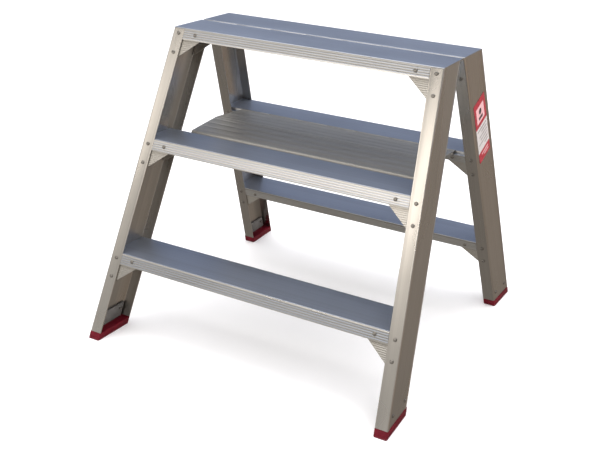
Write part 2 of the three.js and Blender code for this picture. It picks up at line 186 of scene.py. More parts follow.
class LADDER_PG_sizes(bpy.types.PropertyGroup):
    """Sizes of the sections, hinges, rivets and feet."""

    gap: size_mm("Gap", "Between pieces that rest on each other", 0.3)
    stile_width: size_mm("Flange width", "Width of a stile's flanges", 35)
    stile_wall: size_mm("Stile wall", "Thickness of a stile's walls", 3.2)
    stile_corner: size_mm("Stile corner", "Radius of a stile's outer corners", 2.6)
    web_recess: size_mm("Web recess", "How far the web lies behind its raised edges", 0.8)
    web_edge: size_mm("Web edge", "Width of each raised edge of the web", 10)
    web_slope: size_mm("Web slope", "Width of the slope beside a raised edge", 1)
    web_ease: size_mm("Eased edge", "How far the web's inner edge falls away", 1.4)
    bead_width: size_mm("Bead width", "Raised bead along each edge of a flange", 3.2)
    bead_height: size_mm("Bead height", "Height of that bead", 0.3)
    bead_run: size_mm("Bead run", "Width of the bead's inner slope", 1.8)
    edge_radius: size_mm("Edge radius", "Small radius on extruded edges", 0.8)

    tread_plate: size_mm("Tread plate", "Thickness of a tread's top", 3)
    apron_wall: size_mm("Apron wall", "Thickness of a tread's aprons", 3.2)
    nosing_radius: size_mm("Nosing radius", "Radius along a tread's outer top edge", 2.4)
    seam_radius: size_mm("Seam radius", "Radius along the seam of the top treads", 2)
    shelf_width: size_mm("Shelf width", "Step along a middle tread's inner edge", 16.5)
    shelf_drop: size_mm("Shelf drop", "Depth of that step", 8.5)
    seam_half_gap: size_mm("Seam gap", "Edge of a top tread from the seam", 4.8)
    rib_pitch: size_mm("Rib pitch", "Spacing of the ribs on aprons and gussets", 5.0)
    rib_groove: size_mm("Rib groove", "Width of the groove between two ribs", 3.0)
    rib_depth: size_mm("Rib depth", "Depth of that groove", 0.7)
    top_pitch: size_mm("Top groove pitch", "Spacing of the grip grooves on a tread's top", 6.2)
    top_groove: size_mm("Top groove", "Width of a grip groove", 2.4)
    top_depth: size_mm("Top groove depth", "Depth of a grip groove", 0.2)
    smooth_nosing: size_mm("Smooth nosing", "Band beside a tread's edge with no grooves", 9)

    gusset_thickness: size_mm("Gusset thickness", "Thickness of a corner plate", 2.5)
    gusset_side_gap: size_mm("Gusset side gap", "From a stile's web to a corner plate", 5)
    gusset_rise: size_mm("Gusset rise", "How far a corner plate reaches up behind the apron", 23)
    gusset_across: size_mm("Gusset across", "Its visible leg along the apron", 55)
    gusset_down: size_mm("Gusset down", "Its visible leg along the flange", 48)

    rivet_radius: size_mm("Rivet radius", "Radius of a rivet's shank", 2.4)
    rivet_head: size_mm("Rivet head", "Radius of a rivet's head", 5.2)
    rivet_dome: size_mm("Rivet dome", "Height of a rivet's head", 2)
    rivet_bulb: size_mm("Rivet bulb", "Radius of a rivet's blind end", 3.6)
    mandrel_hole: size_mm("Mandrel hole", "Radius of the hole in a rivet's head", 1.25)
    flange_rivet_edge: size_mm("Flange rivet", "From the flange's inner edge to a rivet", 17)
    apron_rivet_edge: size_mm("Apron rivet", "From the flange's inner edge, along the apron", 37.5)
    outer_rivet_drop: size_mm("Outer rivet drop", "Upper rivets below the tread, outside", 16)
    inner_rivet_drop: size_mm("Inner rivet drop", "Upper rivets below the tread, inside", 20)
    lower_rivet_drop: size_mm("Lower rivet drop", "Lower rivets below the tread", 70)

    foot_proud: size_mm("Foot proud", "How far the sole stands out past the stile", 0.8)
    foot_corner: size_mm("Foot corner", "Radius of the sole's corners", 4)
    tongue_thickness: size_mm("Tongue thickness", "Thickness of the foot's tongue", 5)
    tongue_rise: size_mm("Tongue rise", "Height of the tongue above the sole", 40)
    tongue_inset: size_mm("Tongue inset", "From the tongue to the stile's flanges", 6)
    foot_rivet_rise: size_mm("Foot rivet rise", "Foot rivets above the sole", 26)
    foot_rivet_inset: size_mm("Foot rivet inset", "Foot rivets from the stile's faces", 23)
    sole_groove: size_mm("Sole groove", "Width of the grooves under and round the sole", 1.6)
    sole_pitch: size_mm("Sole pitch", "Spacing of the grooves under the sole", 7)

    barrel_radius: size_mm("Knuckle radius", "Radius of the hinge knuckles", 3.6)
    pin_radius: size_mm("Pin radius", "Radius of the hinge pins", 1.8)
    bore_radius: size_mm("Bore radius", "Radius of the hinge bores", 2.2)
    knuckle_gap: size_mm("Knuckle gap", "Between neighbouring knuckles", 0.5)
    hinge_strip: size_mm("Hinge strip", "Thickness of a hinge leaf", 2.2)
    strip_drop: size_mm("Strip drop", "Height of the top hinge's leaves", 22)
    strip_margin: size_mm("Strip margin", "End of a hinge strip from the nearest rivet head", 2)
    pivot_web: size_mm("Pivot web", "Thickness of the web under the platform hinge", 2.4)
    knuckle_count: IntProperty(name="Knuckles", description="Knuckles along a hinge",
                               default=7, min=3)

    leaf_plate: size_mm("Leaf plate", "Thickness of a platform leaf's top", 2.6)
    leaf_edge: size_mm("Leaf edge", "Height of a platform leaf's edges", 8)
    leaf_wall: size_mm("Leaf wall", "Thickness of those edges", 3)
    leaf_tongue: size_mm("Leaf lip", "Lip of the front leaf on the front shelf", 5)
    lip_thickness: size_mm("Lip thickness", "Thickness of that lip", 2.4)
    skirt_clearance: size_mm("Skirt clearance", "From the rear leaf's edge to the tread", 1.5)
    leaf_groove: size_mm("Leaf groove", "Width of the platform's grip grooves", 3.6)
    leaf_groove_depth: size_mm("Leaf groove depth", "Depth of those grooves", 0.7)
    leaf_seam: size_mm("Leaf seam", "Radius of both leaves along the platform's centre", 2)
    leaf_nose: size_mm("Leaf nose", "Radius along the front leaf's outer edge", 5)
    leaf_pitch: size_mm("Leaf groove pitch", "Spacing of the platform's grip grooves", 28)

    label_margin: size_mm("Label margin", "From the label to the web's raised edges", 8)
    label_length: size_mm("Label length", "Length of the label along the stile", 190)
    label_film: size_mm("Label film", "Thickness of the label with its print", 0.5)


class LADDER_PG_finishes(bpy.types.PropertyGroup):
    """Colours of the finishes."""

    stile: colour("Stiles", "Mill-finish extruded aluminium", "#cfccc8")
    tread: colour("Treads", "Mill-finish extruded aluminium, cooler", "#cbcbcb")
    # The tops are the same metal as the aprons: this bluer copy is a painted reflection of the cool
    # sky above them.
    tread_top_painted_sky: colour("Tread tops", "The treads' tops, slightly blue", "#b3bccd")
    gusset: colour("Gussets", "Ribbed aluminium plate", "#cdcac5")
    platform: colour("Platform", "Duller extruded aluminium", "#bab8b3")
    hinge: colour("Hinges", "Extruded aluminium with knuckles", "#d6d5d2")
    rivet: colour("Rivets", "Upset aluminium", "#a9a5a0")
    pin: colour("Pins", "Drawn steel", "#9a9b9f")
    foot: colour("Feet", "Moulded polypropylene", "#640318")
    tongue: colour("Foot tongues", "Moulded polypropylene, undyed", "#6d6a66")
    # The film is white; its colour here is greyed: painted shade, for the shadow the label lies in
    # on the stile.
    film_paper_painted_shade: colour("Label ground", "White printed film", "#c4bdb9")
    film_red: colour("Label red", "Red print", "#a01029")
    film_pink: colour("Label tint", "Pale print", "#dba9aa")
    film_grey: colour("Label grey", "Grey print", "#7f7a78")
    film_ink: colour("Label ink", "Dark print", "#342c2f")


class LADDER_PG_stage(bpy.types.PropertyGroup):
    """Camera, floor and lights."""

    azimuth: FloatProperty(name="Azimuth", description="Camera round the ladder",
                           default=math.radians(28.279), subtype="ANGLE")
    elevation: FloatProperty(name="Elevation", description="Camera above the horizon",
                             default=math.radians(22.776), subtype="ANGLE")
    roll: FloatProperty(name="Roll", description="Camera about its own axis",
                        default=math.radians(2.253), subtype="ANGLE")
    distance: FloatProperty(name="Distance", description="Camera from its target",
                            default=2.77826, min=0.1, unit="LENGTH")
    target_x: FloatProperty(name="Target X", description="Target across the ladder",
                            default=-0.05352, unit="LENGTH")
    target_z: FloatProperty(name="Target height", description="Target above the floor",
                            default=0.27893, unit="LENGTH")
    lens: FloatProperty(name="Focal length", description="In millimetres", default=56.456, min=1)
    sensor: FloatProperty(name="Sensor", description="Width in millimetres", default=36, min=1)
    floor: colour("Floor", "Pale matt floor", "#f5f4f2")
    glow: FloatProperty(name="Floor glow", description="How much the pale floor glows",
                        default=0.12, min=0)
    floor_radius: FloatProperty(name="Floor radius", description="Radius of the flat floor",
                                default=8, min=1, unit="LENGTH")
    bend: FloatProperty(name="Bend", description="Radius of the bend up into the wall",
                        default=4, min=0.1, unit="LENGTH")
    wall_height: FloatProperty(name="Wall height", description="Top of the round wall",
                               default=9, min=1, unit="LENGTH")
    sky_front: colour("Front sky", "Ambient light from the front", "#aaa7a2")
    sky_back: colour("Back sky", "Ambient light from behind", "#798193")
    ground_left: colour("Left ground", "Ambient light from below on the left", "#e9e4dc")
    ground_middle: colour("Middle ground", "Ambient light from below, behind", "#4f4c48")
    ground_right: colour("Right ground", "Ambient light from below on the right", "#bba692")
    nadir: colour("Nadir", "Ambient light from straight below", "#827c75")
    ambient: FloatProperty(name="Ambient", description="Strength of the ambient light",
                           default=1.0, min=0)
    key: FloatProperty(name="Key", description="Power of the front softbox, in watts",
                       default=17, min=0)
    fill: FloatProperty(name="Fill", description="Power of the softbox on the left, in watts",
                        default=10, min=0)
    back: FloatProperty(name="Back", description="Power of the softbox behind, in watts",
                        default=8, min=0)
    top: FloatProperty(name="Top", description="Power of the softbox above, in watts",
                       default=45, min=0)
    rim: FloatProperty(name="Rim", description="Power of the softbox behind on the right, in watts",
                       default=8, min=0)
    overhead: FloatProperty(name="Overhead", description="Strength of the light on the floor",
                            default=4.2, min=0)


# ------------------------------------------------------------------ shapes
SMOOTH_ANGLE = math.radians(32)
# Faces of a tread that look up at least this much get the bluer copy of the metal, a painted sky
# reflection.
TOP_FACE = 0.8          # least upward part of the normal of a tread's top
MERGE = 1e-6
ARC_STEPS = 4           # segments of a rounded corner
ROUND_STEPS = 32        # sides of knuckles and pins
BEND_STEPS = 12         # segments of the bend between floor and wall
WALL_STEPS = 96         # sides of the round wall
RIVET_STEPS = 22        # sides of a rivet
GROOVE_FLOOR = 1 / 3    # flat part of a groove's width
EDGE_MARGIN = 0.003     # from the end of a ribbed face to its first groove
CUT_MARGIN = 0.002      # the same on faces that are cut to length, and past a nosing
MM = 0.001              # a millimetre in metres


def solid(points, direction, start, length):
    """A closed solid drawn out from a flat outline of (a, b, radius) corners."""
    bm = bmesh.new()
    corners = [bm.verts.new((a, b, start)) for a, b, _ in points]
    bm.faces.new(corners)
    for radius in sorted({r for _, _, r in points if r}):
        chosen = [v for v, (_, _, r) in zip(corners, points) if r == radius]
        bmesh.ops.bevel(bm, geom=chosen, offset=radius, offset_type="OFFSET", affect="VERTICES",
                        segments=ARC_STEPS, profile=0.5, material=-1)
    grown = bmesh.ops.extrude_face_region(bm, geom=bm.faces[:])["geom"]
    moved = [part for part in grown if isinstance(part, bmesh.types.BMVert)]
    bmesh.ops.translate(bm, verts=moved, vec=(0, 0, length))
    bmesh.ops.transform(bm, matrix=direction, verts=bm.verts)
    bmesh.ops.recalc_face_normals(bm, faces=bm.faces)
    return bm


def rectangle(x0, y0, x1, y1, radius=0.0):
    """Corners of a rectangle, all with one radius."""
    return [(x0, y0, radius), (x1, y0, radius), (x1, y1, radius), (x0, y1, radius)]


def grooved(start, end, pitch, width, depth, margins):
    """Points between two corners of an outline, with even grooves cut in on its left side."""
    start, end = Vector(start), Vector(end)
    along = (end - start).normalized()
    inwards = Vector((-along.y, along.x))
    span = (end - start).length - sum(margins)
    count = int(span / pitch)
    floor = width * GROOVE_FLOOR / 2
    section = ((-width / 2, 0), (-floor, depth), (floor, depth), (width / 2, 0))
    points = []
    for i in range(count):
        middle = margins[0] + span * (i + 0.5) / count
        for offset, sink in section:
            place = start + along * (middle + offset) + inwards * sink
            points.append((place.x, place.y, 0.0))
    return points


def bar(radius, y, z, x0, x1, bevel=0.0):
    """A round bar along X, its ends bevelled."""
    bm = bmesh.new()
    place = Matrix.Translation(((x0 + x1) / 2, y, z)) @ Matrix.Rotation(math.pi / 2, 4, "Y")
    bmesh.ops.create_cone(bm, cap_ends=True, segments=ROUND_STEPS, radius1=radius,
                          radius2=radius, depth=x1 - x0, matrix=place)
    if bevel:
        rims = [e for e in bm.edges if any(len(f.verts) > 4 for f in e.link_faces)]
        bmesh.ops.bevel(bm, geom=rims, offset=bevel, offset_type="OFFSET", affect="EDGES",
                        segments=2, profile=0.5, material=-1)
    return bm


def cut(bm, point, normal):
    """Cuts away what lies beyond a plane and closes the cut."""
    everything = bm.verts[:] + bm.edges[:] + bm.faces[:]
    made = bmesh.ops.bisect_plane(bm, geom=everything, dist=MERGE / 10, plane_co=point,
                                  plane_no=normal, clear_outer=True)["geom_cut"]
    rim = [part for part in made if isinstance(part, bmesh.types.BMEdge)]
    bmesh.ops.edgeloop_fill(bm, edges=rim)


def score(bm, point, normal):
    """Adds an edge loop along a plane."""
    everything = bm.verts[:] + bm.edges[:] + bm.faces[:]
    bmesh.ops.bisect_plane(bm, geom=everything, dist=MERGE / 10, plane_co=point, plane_no=normal)


def temporary(bm):
    """An object for a boolean, which takes the bmesh over."""
    mesh = bpy.data.meshes.new("temporary")
    bmesh.ops.recalc_face_normals(bm, faces=bm.faces)
    bm.to_mesh(mesh)
    bm.free()
    made = bpy.data.objects.new("temporary", mesh)
    bpy.context.scene.collection.objects.link(made)
    return made


def combined(bm, others, operation):
    """Joins other solids to a bmesh (UNION) or cuts them out of it (DIFFERENCE)."""
    base = temporary(bm)
    helpers = [temporary(other) for other in others]
    for helper in helpers:
        modifier = base.modifiers.new("combine", "BOOLEAN")
        modifier.operation = operation
        modifier.solver = "EXACT"
        modifier.object = helper
    depsgraph = bpy.context.evaluated_depsgraph_get()
    mesh = bpy.data.meshes.new_from_object(base.evaluated_get(depsgraph))
    result = bmesh.new()
    result.from_mesh(mesh)
    bpy.data.meshes.remove(mesh)
    for used in (base, *helpers):
        data = used.data
        bpy.data.objects.remove(used)
        bpy.data.meshes.remove(data)
    return result


def finish_piece(bm, name, place, nodes, materials, along="X", tops_get_painted_sky=False):
    """Places a bmesh as a finished piece that stands for these nodes.

    The grain attribute keeps each point's place in the piece's own axes, its first part along
    the extrusion, so that a finish follows the metal wherever the piece stands.
    """
    bmesh.ops.remove_doubles(bm, verts=bm.verts, dist=MERGE)
    grain = bm.verts.layers.float_vector.new("grain")
    for vert in bm.verts:
        x, y, z = vert.co
        vert[grain] = (x, y, z) if along == "X" else (z, x, y)
    bmesh.ops.transform(bm, matrix=place, verts=bm.verts)
    bmesh.ops.recalc_face_normals(bm, faces=bm.faces)
    for face in bm.faces:
        face.smooth = True
    # Upward faces take the second material, a bluer copy of the same metal: painted reflection of
    # the sky.
    if tops_get_painted_sky:
        for face in bm.faces:
            face.material_index = 1 if face.normal.z > TOP_FACE else 0
    mesh = bpy.data.meshes.new(name)
    bm.to_mesh(mesh)
    bm.free()
    mesh.set_sharp_from_angle(angle=SMOOTH_ANGLE)
    for material in materials:
        mesh.materials.append(material)
    piece = bpy.data.objects.new(name, mesh)
    bpy.context.scene.collection.objects.link(piece)
    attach(piece, BODY_OF[nodes[0]])
    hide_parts(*nodes)
    return piece


# ------------------------------------------------------------------ finishes
BLACK, WHITE = (0.0, 0.0, 0.0), (1.0, 1.0, 1.0)
SCUFF_HEIGHT = 0.006    # how far up the floor scuffs a foot


def blank_material(name):
    """A material's node tree and shader, with nothing linked to the shader yet."""
    material = bpy.data.materials.new(name)
    material.use_nodes = True
    return material, material.node_tree, material.node_tree.nodes["Principled BSDF"]


def first_output(source):
    """The output to link from: the one that is given, or a node's first."""
    if isinstance(source, bpy.types.NodeSocket):
        return source
    return next(socket for socket in source.outputs if socket.enabled)


def add_node(tree, kind, settings, links, stops=()):
    """Adds a node, gives its properties and inputs their values, links its inputs and, on a
    colour ramp, sets the stops. An input goes by its name, or by its number if two share one."""
    node = tree.nodes.new("ShaderNode" + kind)
    owned = [name for name in settings if isinstance(name, str) and hasattr(node, name)]
    for name in owned:
        setattr(node, name, settings[name])
    shown = [socket for socket in node.inputs if socket.enabled]
    sockets = {socket.name: socket for socket in reversed(shown)}
    sockets.update(enumerate(shown))
    for name, value in settings.items():
        if name not in owned:
            sockets[name].default_value = value
    for name, source in links.items():
        tree.links.new(first_output(source), sockets[name])
    while stops and len(node.color_ramp.elements) < len(stops):
        node.color_ramp.elements.new(1.0)
    for element, (place, shade) in zip(node.color_ramp.elements if stops else (), stops):
        element.position = place
        element.color = (*shade, 1.0)
    return node


def link_shader(tree, shader, **sources):
    """Links nodes to the shader's inputs, with _ for a space in an input's name."""
    for name, source in sources.items():
        tree.links.new(first_output(source), shader.inputs[name.replace("_", " ")])


def shaded(base, share):
    """A colour with its light scaled."""
    return tuple(min(1.0, part * share) for part in base)


def per_metre(millimetres):
    """The scale of a pattern whose features are this large."""
    return 1 / (millimetres * MM)


LINE_SHARE = 0.45                   # of the die lines in the relief, the bands taking the rest
DULLED = (0.86, 0.855, 0.845)       # tint of metal that has been handled


def extruded_aluminium(name, base, roughness, metallic=1.0, line_pitch=3.5, contrast=0.05):
    """Extruded aluminium, mill finish: pressed hot through a die and left as it is.

    The die leaves straight lines along the length, so reflections are drawn out into soft
    streaks, in bands that reflect a little more or less. Handling leaves cloudy patches that
    are duller. Real die lines lie a fraction of a millimetre apart, and these are coarser so
    that they show. Sizes are in millimetres, along the extrusion and across it.
    """
    material, tree, shader = blank_material(name)
    grain = add_node(tree, "Attribute", {"attribute_name": "grain"}, {})
    layers = []
    for length, width, detail in ((833, line_pitch, 2.0), (2000, 13.33, 2.0), (250, 90.9, 1.0)):
        scale = (per_metre(length), per_metre(width), per_metre(width))
        placed = add_node(tree, "Mapping", {"Scale": scale}, {"Vector": grain.outputs["Vector"]})
        layers.append(add_node(tree, "TexNoise", {"Scale": 1.0, "Detail": detail},
                               {"Vector": placed}))
    lines, bands, clouds = layers
    fine = add_node(tree, "Math", {"operation": "MULTIPLY", 1: LINE_SHARE}, {0: lines})
    broad = add_node(tree, "Math", {"operation": "MULTIPLY", 1: 1 - LINE_SHARE}, {0: bands})
    mixed = add_node(tree, "Math", {"operation": "ADD"}, {0: fine, 1: broad})
    streaks = add_node(tree, "ValToRGB", {}, {"Fac": mixed},
                       ((0.34, shaded(base, 1 - contrast)), (0.66, shaded(base, 1 + contrast))))
    tint = add_node(tree, "ValToRGB", {}, {"Fac": clouds}, ((0.3, DULLED), (0.62, WHITE)))
    shade = add_node(tree, "Mix", {"data_type": "RGBA", "blend_type": "MULTIPLY", "Factor": 0.4},
                     {"A": streaks, "B": tint})
    rough = add_node(tree, "MapRange", {"From Min": 0.3, "From Max": 0.7,
                                        "To Min": roughness - 0.03,
                                        "To Max": roughness + 0.04}, {"Value": clouds})
    relief = add_node(tree, "Bump", {"Strength": 0.2, "Distance": 0.04 * MM}, {"Height": mixed})
    shader.inputs["Metallic"].default_value = metallic
    link_shader(tree, shader, Base_Color=shade, Roughness=rough, Normal=relief)
    return material


def upset_rivet(name, base):
    """Upset aluminium: a soft rivet pulled tight, so that the tool has polished its head.

    It glints, and its colour is painted darker where its tiny dimples sink: painted shade in them.
    The dimples are coarser than real ones, so that they show.
    """
    material, tree, shader = blank_material(name)
    place = add_node(tree, "TexCoord", {}, {}).outputs["Object"]
    dents_and_painted_shade = add_node(tree, "TexNoise", {"Scale": per_metre(1.111), "Detail": 2.0},
                     {"Vector": place})
    # Darker where the bump is lower: painted shade in the dimples of the head.
    shade = add_node(tree, "ValToRGB", {}, {"Fac": dents_and_painted_shade},
                     ((0.35, shaded(base, 0.72)), (0.65, base)))
    rough = add_node(tree, "MapRange", {"To Min": 0.24, "To Max": 0.42}, {"Value": dents_and_painted_shade})
    relief = add_node(tree, "Bump", {"Strength": 0.3, "Distance": 0.1 * MM}, {"Height": dents_and_painted_shade})
    shader.inputs["Metallic"].default_value = 0.95
    link_shader(tree, shader, Base_Color=shade, Roughness=rough, Normal=relief)
    return material


def drawn_steel(name, base):
    """Bright drawn steel: wire pulled cold through a die, which leaves close lines along it.

    It looks smooth and a little darker than the aluminium, with a streaked glint. The lines
    are coarser than real ones, so that they show.
    """
    return extruded_aluminium(name, base, 0.32, line_pitch=0.8, contrast=0.08)


def moulded_plastic(name, base):
    """Moulded polypropylene, from an eroded tool: a fine even grain that keeps highlights soft.

    The colour flows unevenly through the moulding, and the floor has scuffed the lowest part
    paler. The grain is coarser than a real one, so that it shows.
    """
    material, tree, shader = blank_material(name)
    place = add_node(tree, "TexCoord", {}, {}).outputs["Object"]
    grit = add_node(tree, "TexNoise", {"Scale": per_metre(0.625), "Detail": 3.0},
                    {"Vector": place})
    flow = add_node(tree, "TexNoise", {"Scale": per_metre(35.7), "Detail": 3.0},
                    {"Vector": place})
    body = add_node(tree, "ValToRGB", {}, {"Fac": flow},
                    ((0.35, shaded(base, 0.78)), (0.65, base)))
    height = add_node(tree, "SeparateXYZ", {}, {"Vector": place})
    low = add_node(tree, "MapRange", {"From Min": SCUFF_HEIGHT, "From Max": 0.0},
                   {"Value": height.outputs["Z"]})
    rubbed = add_node(tree, "Math", {"operation": "MULTIPLY"}, {0: low, 1: grit})
    pale = [part * 0.8 + 0.03 for part in base]
    worn = add_node(tree, "Mix", {"data_type": "RGBA", "B": (*pale, 1.0)},
                    {"Factor": rubbed, "A": body})
    rough = add_node(tree, "MapRange", {"To Min": 0.42, "To Max": 0.62}, {"Value": flow})
    relief = add_node(tree, "Bump", {"Strength": 0.4, "Distance": 0.08 * MM}, {"Height": grit})
    shader.inputs["Specular IOR Level"].default_value = 0.22
    link_shader(tree, shader, Base_Color=worn, Roughness=rough, Normal=relief)
    return material


def printed_film(name, base):
    """Printed vinyl film under a clear coat: flat colour with a smooth, slightly wavy gloss.

    The print is a fine screen, drawn coarser than a real one so that it shows, and the film
    ripples where it was pressed on.
    """
    material, tree, shader = blank_material(name)
    place = add_node(tree, "TexCoord", {}, {}).outputs["Object"]
    screen = add_node(tree, "TexNoise", {"Scale": per_metre(0.8333), "Detail": 2.0},
                      {"Vector": place})
    ripple = add_node(tree, "TexNoise", {"Scale": per_metre(16.67), "Detail": 2.0},
                      {"Vector": place})
    ink = add_node(tree, "ValToRGB", {}, {"Fac": screen},
                   ((0.3, shaded(base, 0.86)), (0.6, base)))
    rough = add_node(tree, "MapRange", {"To Min": 0.28, "To Max": 0.44}, {"Value": ripple})
    relief = add_node(tree, "Bump", {"Strength": 0.2, "Distance": 0.2 * MM}, {"Height": ripple})
    shader.inputs["Coat Weight"].default_value = 0.3
    link_shader(tree, shader, Base_Color=ink, Roughness=rough, Normal=relief)
    return material


# ------------------------------------------------------------------ rivets
DOME_STEPS = 5                  # segments of a rivet head's dome
DOME_FULLNESS = 0.8             # 1 is an elliptical dome, and less is a fuller one
HOLE_DEPTH = 0.35               # bottom of the mandrel hole, as a share of the dome's height
RIM_HEIGHT = 0.12               # top of the head's rim, as the same share
RIM_TUCK = 0.985                # how far the head draws in under its rim
BLIND_END = (0.6, 3, 5, 5.6)    # millimetres behind the grip: the bulb's start and end, and
                                # where the end narrows and closes


def edge_z(tread, face):
    """Local Z of a tread's top edge on a frame's outer or inner face."""
    return slope_z(TREAD_HEIGHTS[tread], 0.0 if face == "outer" else STILE_DEPTH)


def corner_rivets(sizes, side, tread, face):
    """Places of the rivets at one corner of a tread: two in the flange, one in the apron."""
    top = edge_z(tread, face)
    upper = top - (sizes.outer_rivet_drop if face == "outer" else sizes.inner_rivet_drop)
    lower = top - sizes.lower_rivet_drop
    flange = sizes.stile_width - sizes.flange_rivet_edge
    apron = sizes.stile_width + sizes.apron_rivet_edge
    return [(side * stile_x(z, inset), z)
            for z, inset in ((upper, flange), (lower, flange), (upper, apron))]


def foot_rivet_matrices(sizes, side):
    """Axes of the two rivets through a stile's web, with +Y leading outwards."""
    found = []
    for v in (sizes.foot_rivet_inset, STILE_DEPTH - sizes.foot_rivet_inset):
        height = STILE_LOW.z - sizes.gap + sizes.foot_rivet_rise
        z = slope_z(height, v) / math.cos(FLARE)
        own = Matrix.Translation((sizes.web_recess, v, z)) @ Matrix.Rotation(math.pi / 2, 4, "Z")
        found.append(stile_matrix(side) @ own)
    return found


def rivet_solid(sizes, grip, place):
    """A blind rivet, spun about its axis: a domed head with its mandrel hole, a shank through
    everything it grips, and the bulb of its blind end."""
    head, dome, hole = sizes.rivet_head, sizes.rivet_dome, sizes.mandrel_hole
    shank, bulb = sizes.rivet_radius, sizes.rivet_bulb
    seat, back = sizes.gap, -grip
    hole_bottom = seat + dome * HOLE_DEPTH
    profile = [(0.0, hole_bottom), (hole, hole_bottom), (hole, seat + dome)]
    for step in range(1, DOME_STEPS):
        turn = math.pi / 2 * step / DOME_STEPS
        radius = hole + (head - hole) * math.sin(turn)
        profile.append((radius, seat + dome * math.cos(turn) ** DOME_FULLNESS))
    profile += [(head, seat + dome * RIM_HEIGHT), (head * RIM_TUCK, seat), (shank, seat)]
    swell, swollen, shoulder, tip = (back - length * MM for length in BLIND_END)
    profile += [(shank, back), (bulb, swell), (bulb, swollen), (shank, shoulder), (hole, tip),
                (0.0, tip)]
    bm = bmesh.new()
    ring = [bm.verts.new((radius, y, 0.0)) for radius, y in profile]
    edges = [bm.edges.new(pair) for pair in zip(ring, ring[1:])]
    bmesh.ops.spin(bm, geom=ring + edges, cent=(0, 0, 0), axis=(0, 1, 0), angle=2 * math.pi,
                   steps=RIVET_STEPS, use_merge=True, use_duplicate=False)
    bmesh.ops.remove_doubles(bm, verts=bm.verts, dist=MERGE)
    bmesh.ops.transform(bm, matrix=place, verts=bm.verts)
    return bm


def gathered(parts):
    """Several separate solids in one bmesh."""
    whole = bmesh.new()
    for part in parts:
        mesh = bpy.data.meshes.new("part")
        part.to_mesh(mesh)
        part.free()
        whole.from_mesh(mesh)
        bpy.data.meshes.remove(mesh)
    return whole


# ------------------------------------------------------------------ pieces of a frame
def stile_solid(sizes):
    """A stile's channel, as extruded: raised edges on the web and beads along the flanges."""
    w, t, d = sizes.stile_width, sizes.stile_wall, STILE_DEPTH
    recess, edge, slope = sizes.web_recess, sizes.web_edge, sizes.web_edge + sizes.web_slope
    bead, rise = sizes.bead_width, sizes.bead_height
    small, corner = sizes.edge_radius, sizes.stile_corner
    run = bead + sizes.bead_run
    near = [(0, 0, corner), (corner + bead, 0, 0), (corner + run, rise, 0),
            (w - run, rise, 0), (w - bead, 0, 0), (w, 0, small), (w, t, small),
            (t + recess, t, corner / 2)]
    far = [(u, d - v, r) for u, v, r in reversed(near)]
    far[-1] = (sizes.web_ease, d, corner)
    web = [(0, d - edge, 0), (recess, d - slope, 0), (recess, slope, 0), (0, edge, 0)]
    return solid(near + far + web, UP_Z, -STILE_LENGTH, 2 * STILE_LENGTH)


def level_axes(side):
    """How a stile's axes lie in the level ones, and which way is up in the stile's."""
    to_level = frame_matrix() @ stile_matrix(side)
    return to_level, (to_level.to_3x3().transposed() @ Vector((0, 0, 1))).normalized()


def level_planes(bm, side, low, high):
    """Trims a solid in a stile's axes between two heights above the floor."""
    to_level, up = level_axes(side)
    for height, sign in ((high, 1), (low, -1)):
        cut(bm, to_level.inverted() @ Vector((0, 0, height)), up * sign)


class LADDER_OT_stiles(bpy.types.Operator):
    """Builds the four extruded stiles, cut level at the top and at the feet"""

    bl_idname = "ladder.stiles"
    bl_label = "Stiles"

    def execute(self, context):
        sizes = context.scene.ladder_sizes
        metal = extruded_aluminium("stile mill-finish aluminium",
                                   context.scene.ladder_finishes.stile, 0.28)
        for end in ENDS:
            for side in SIDES:
                bm = stile_solid(sizes)
                level_planes(bm, side, STILE_LOW.z, STILE_HIGH.z)
                place = level_matrix(end) @ frame_matrix() @ stile_matrix(side)
                name = f"{end}_{hand(end, side)}"
                finish_piece(bm, f"stile_{name}", place, [f"{name}_stile"],
                             [metal], along="Z")
        return {"FINISHED"}


INNER_NOSING = 0.6      # the smooth band at a tread's inner edge, as a share of the outer one


def tread_outline(sizes, name):
    """A tread's section in the front frame: a grooved top with a ribbed apron at each edge."""
    z = TREAD_HEIGHTS[name]
    low, under = z - APRON_DROP, z - sizes.tread_plate
    wall = sizes.apron_wall / math.cos(LEAN)
    small = sizes.edge_radius
    ribs = (sizes.rib_pitch, sizes.rib_groove, sizes.rib_depth)
    grips = (sizes.top_pitch, sizes.top_groove, sizes.top_depth)
    rib_margins = (sizes.nosing_radius + CUT_MARGIN, EDGE_MARGIN)
    grip_margins = (sizes.smooth_nosing * INNER_NOSING, sizes.smooth_nosing)

    outer_top, outer_low = (outer_y(z), z), (outer_y(low), low)
    points = [(*outer_top, sizes.nosing_radius)]
    points += grooved(outer_top, outer_low, *ribs, rib_margins)
    points += [(*outer_low, small), (outer_y(low) + wall, low, small),
               (outer_y(under) + wall, under, small)]

    if name == "middle":
        shelf = z - sizes.shelf_drop
        shelf_under = shelf - sizes.tread_plate
        step = inner_y(z) - sizes.shelf_width
        back = step - sizes.tread_plate
        inner_low, inner_top = (inner_y(low), low), (inner_y(shelf), shelf)
        points += [(back, under, small), (back, shelf_under, 0),
                   (inner_y(shelf_under) - wall, shelf_under, 0),
                   (inner_y(low) - wall, low, small), (*inner_low, small)]
        points += grooved(inner_low, inner_top, *ribs, (EDGE_MARGIN, EDGE_MARGIN))
        points += [(*inner_top, small), (step, shelf, 0), (step, z, sizes.seam_radius)]
        edge = step
    else:
        edge = -sizes.seam_half_gap if name == "top" else inner_y(z)
        inner_low, inner_under = (inner_y(low), low), (inner_y(under), under)
        points += [(inner_y(under) - wall, under, small), (inner_y(low) - wall, low, small),
                   (*inner_low, small)]
        points += grooved(inner_low, inner_under, *ribs, (EDGE_MARGIN, EDGE_MARGIN))
        if name == "top":
            points += [(*inner_under, 0), (edge, under, 0), (edge, z, sizes.seam_radius)]
        else:
            points += [(edge, z, sizes.nosing_radius)]
    points += grooved((edge, z), outer_top, *grips, grip_margins)
    return points


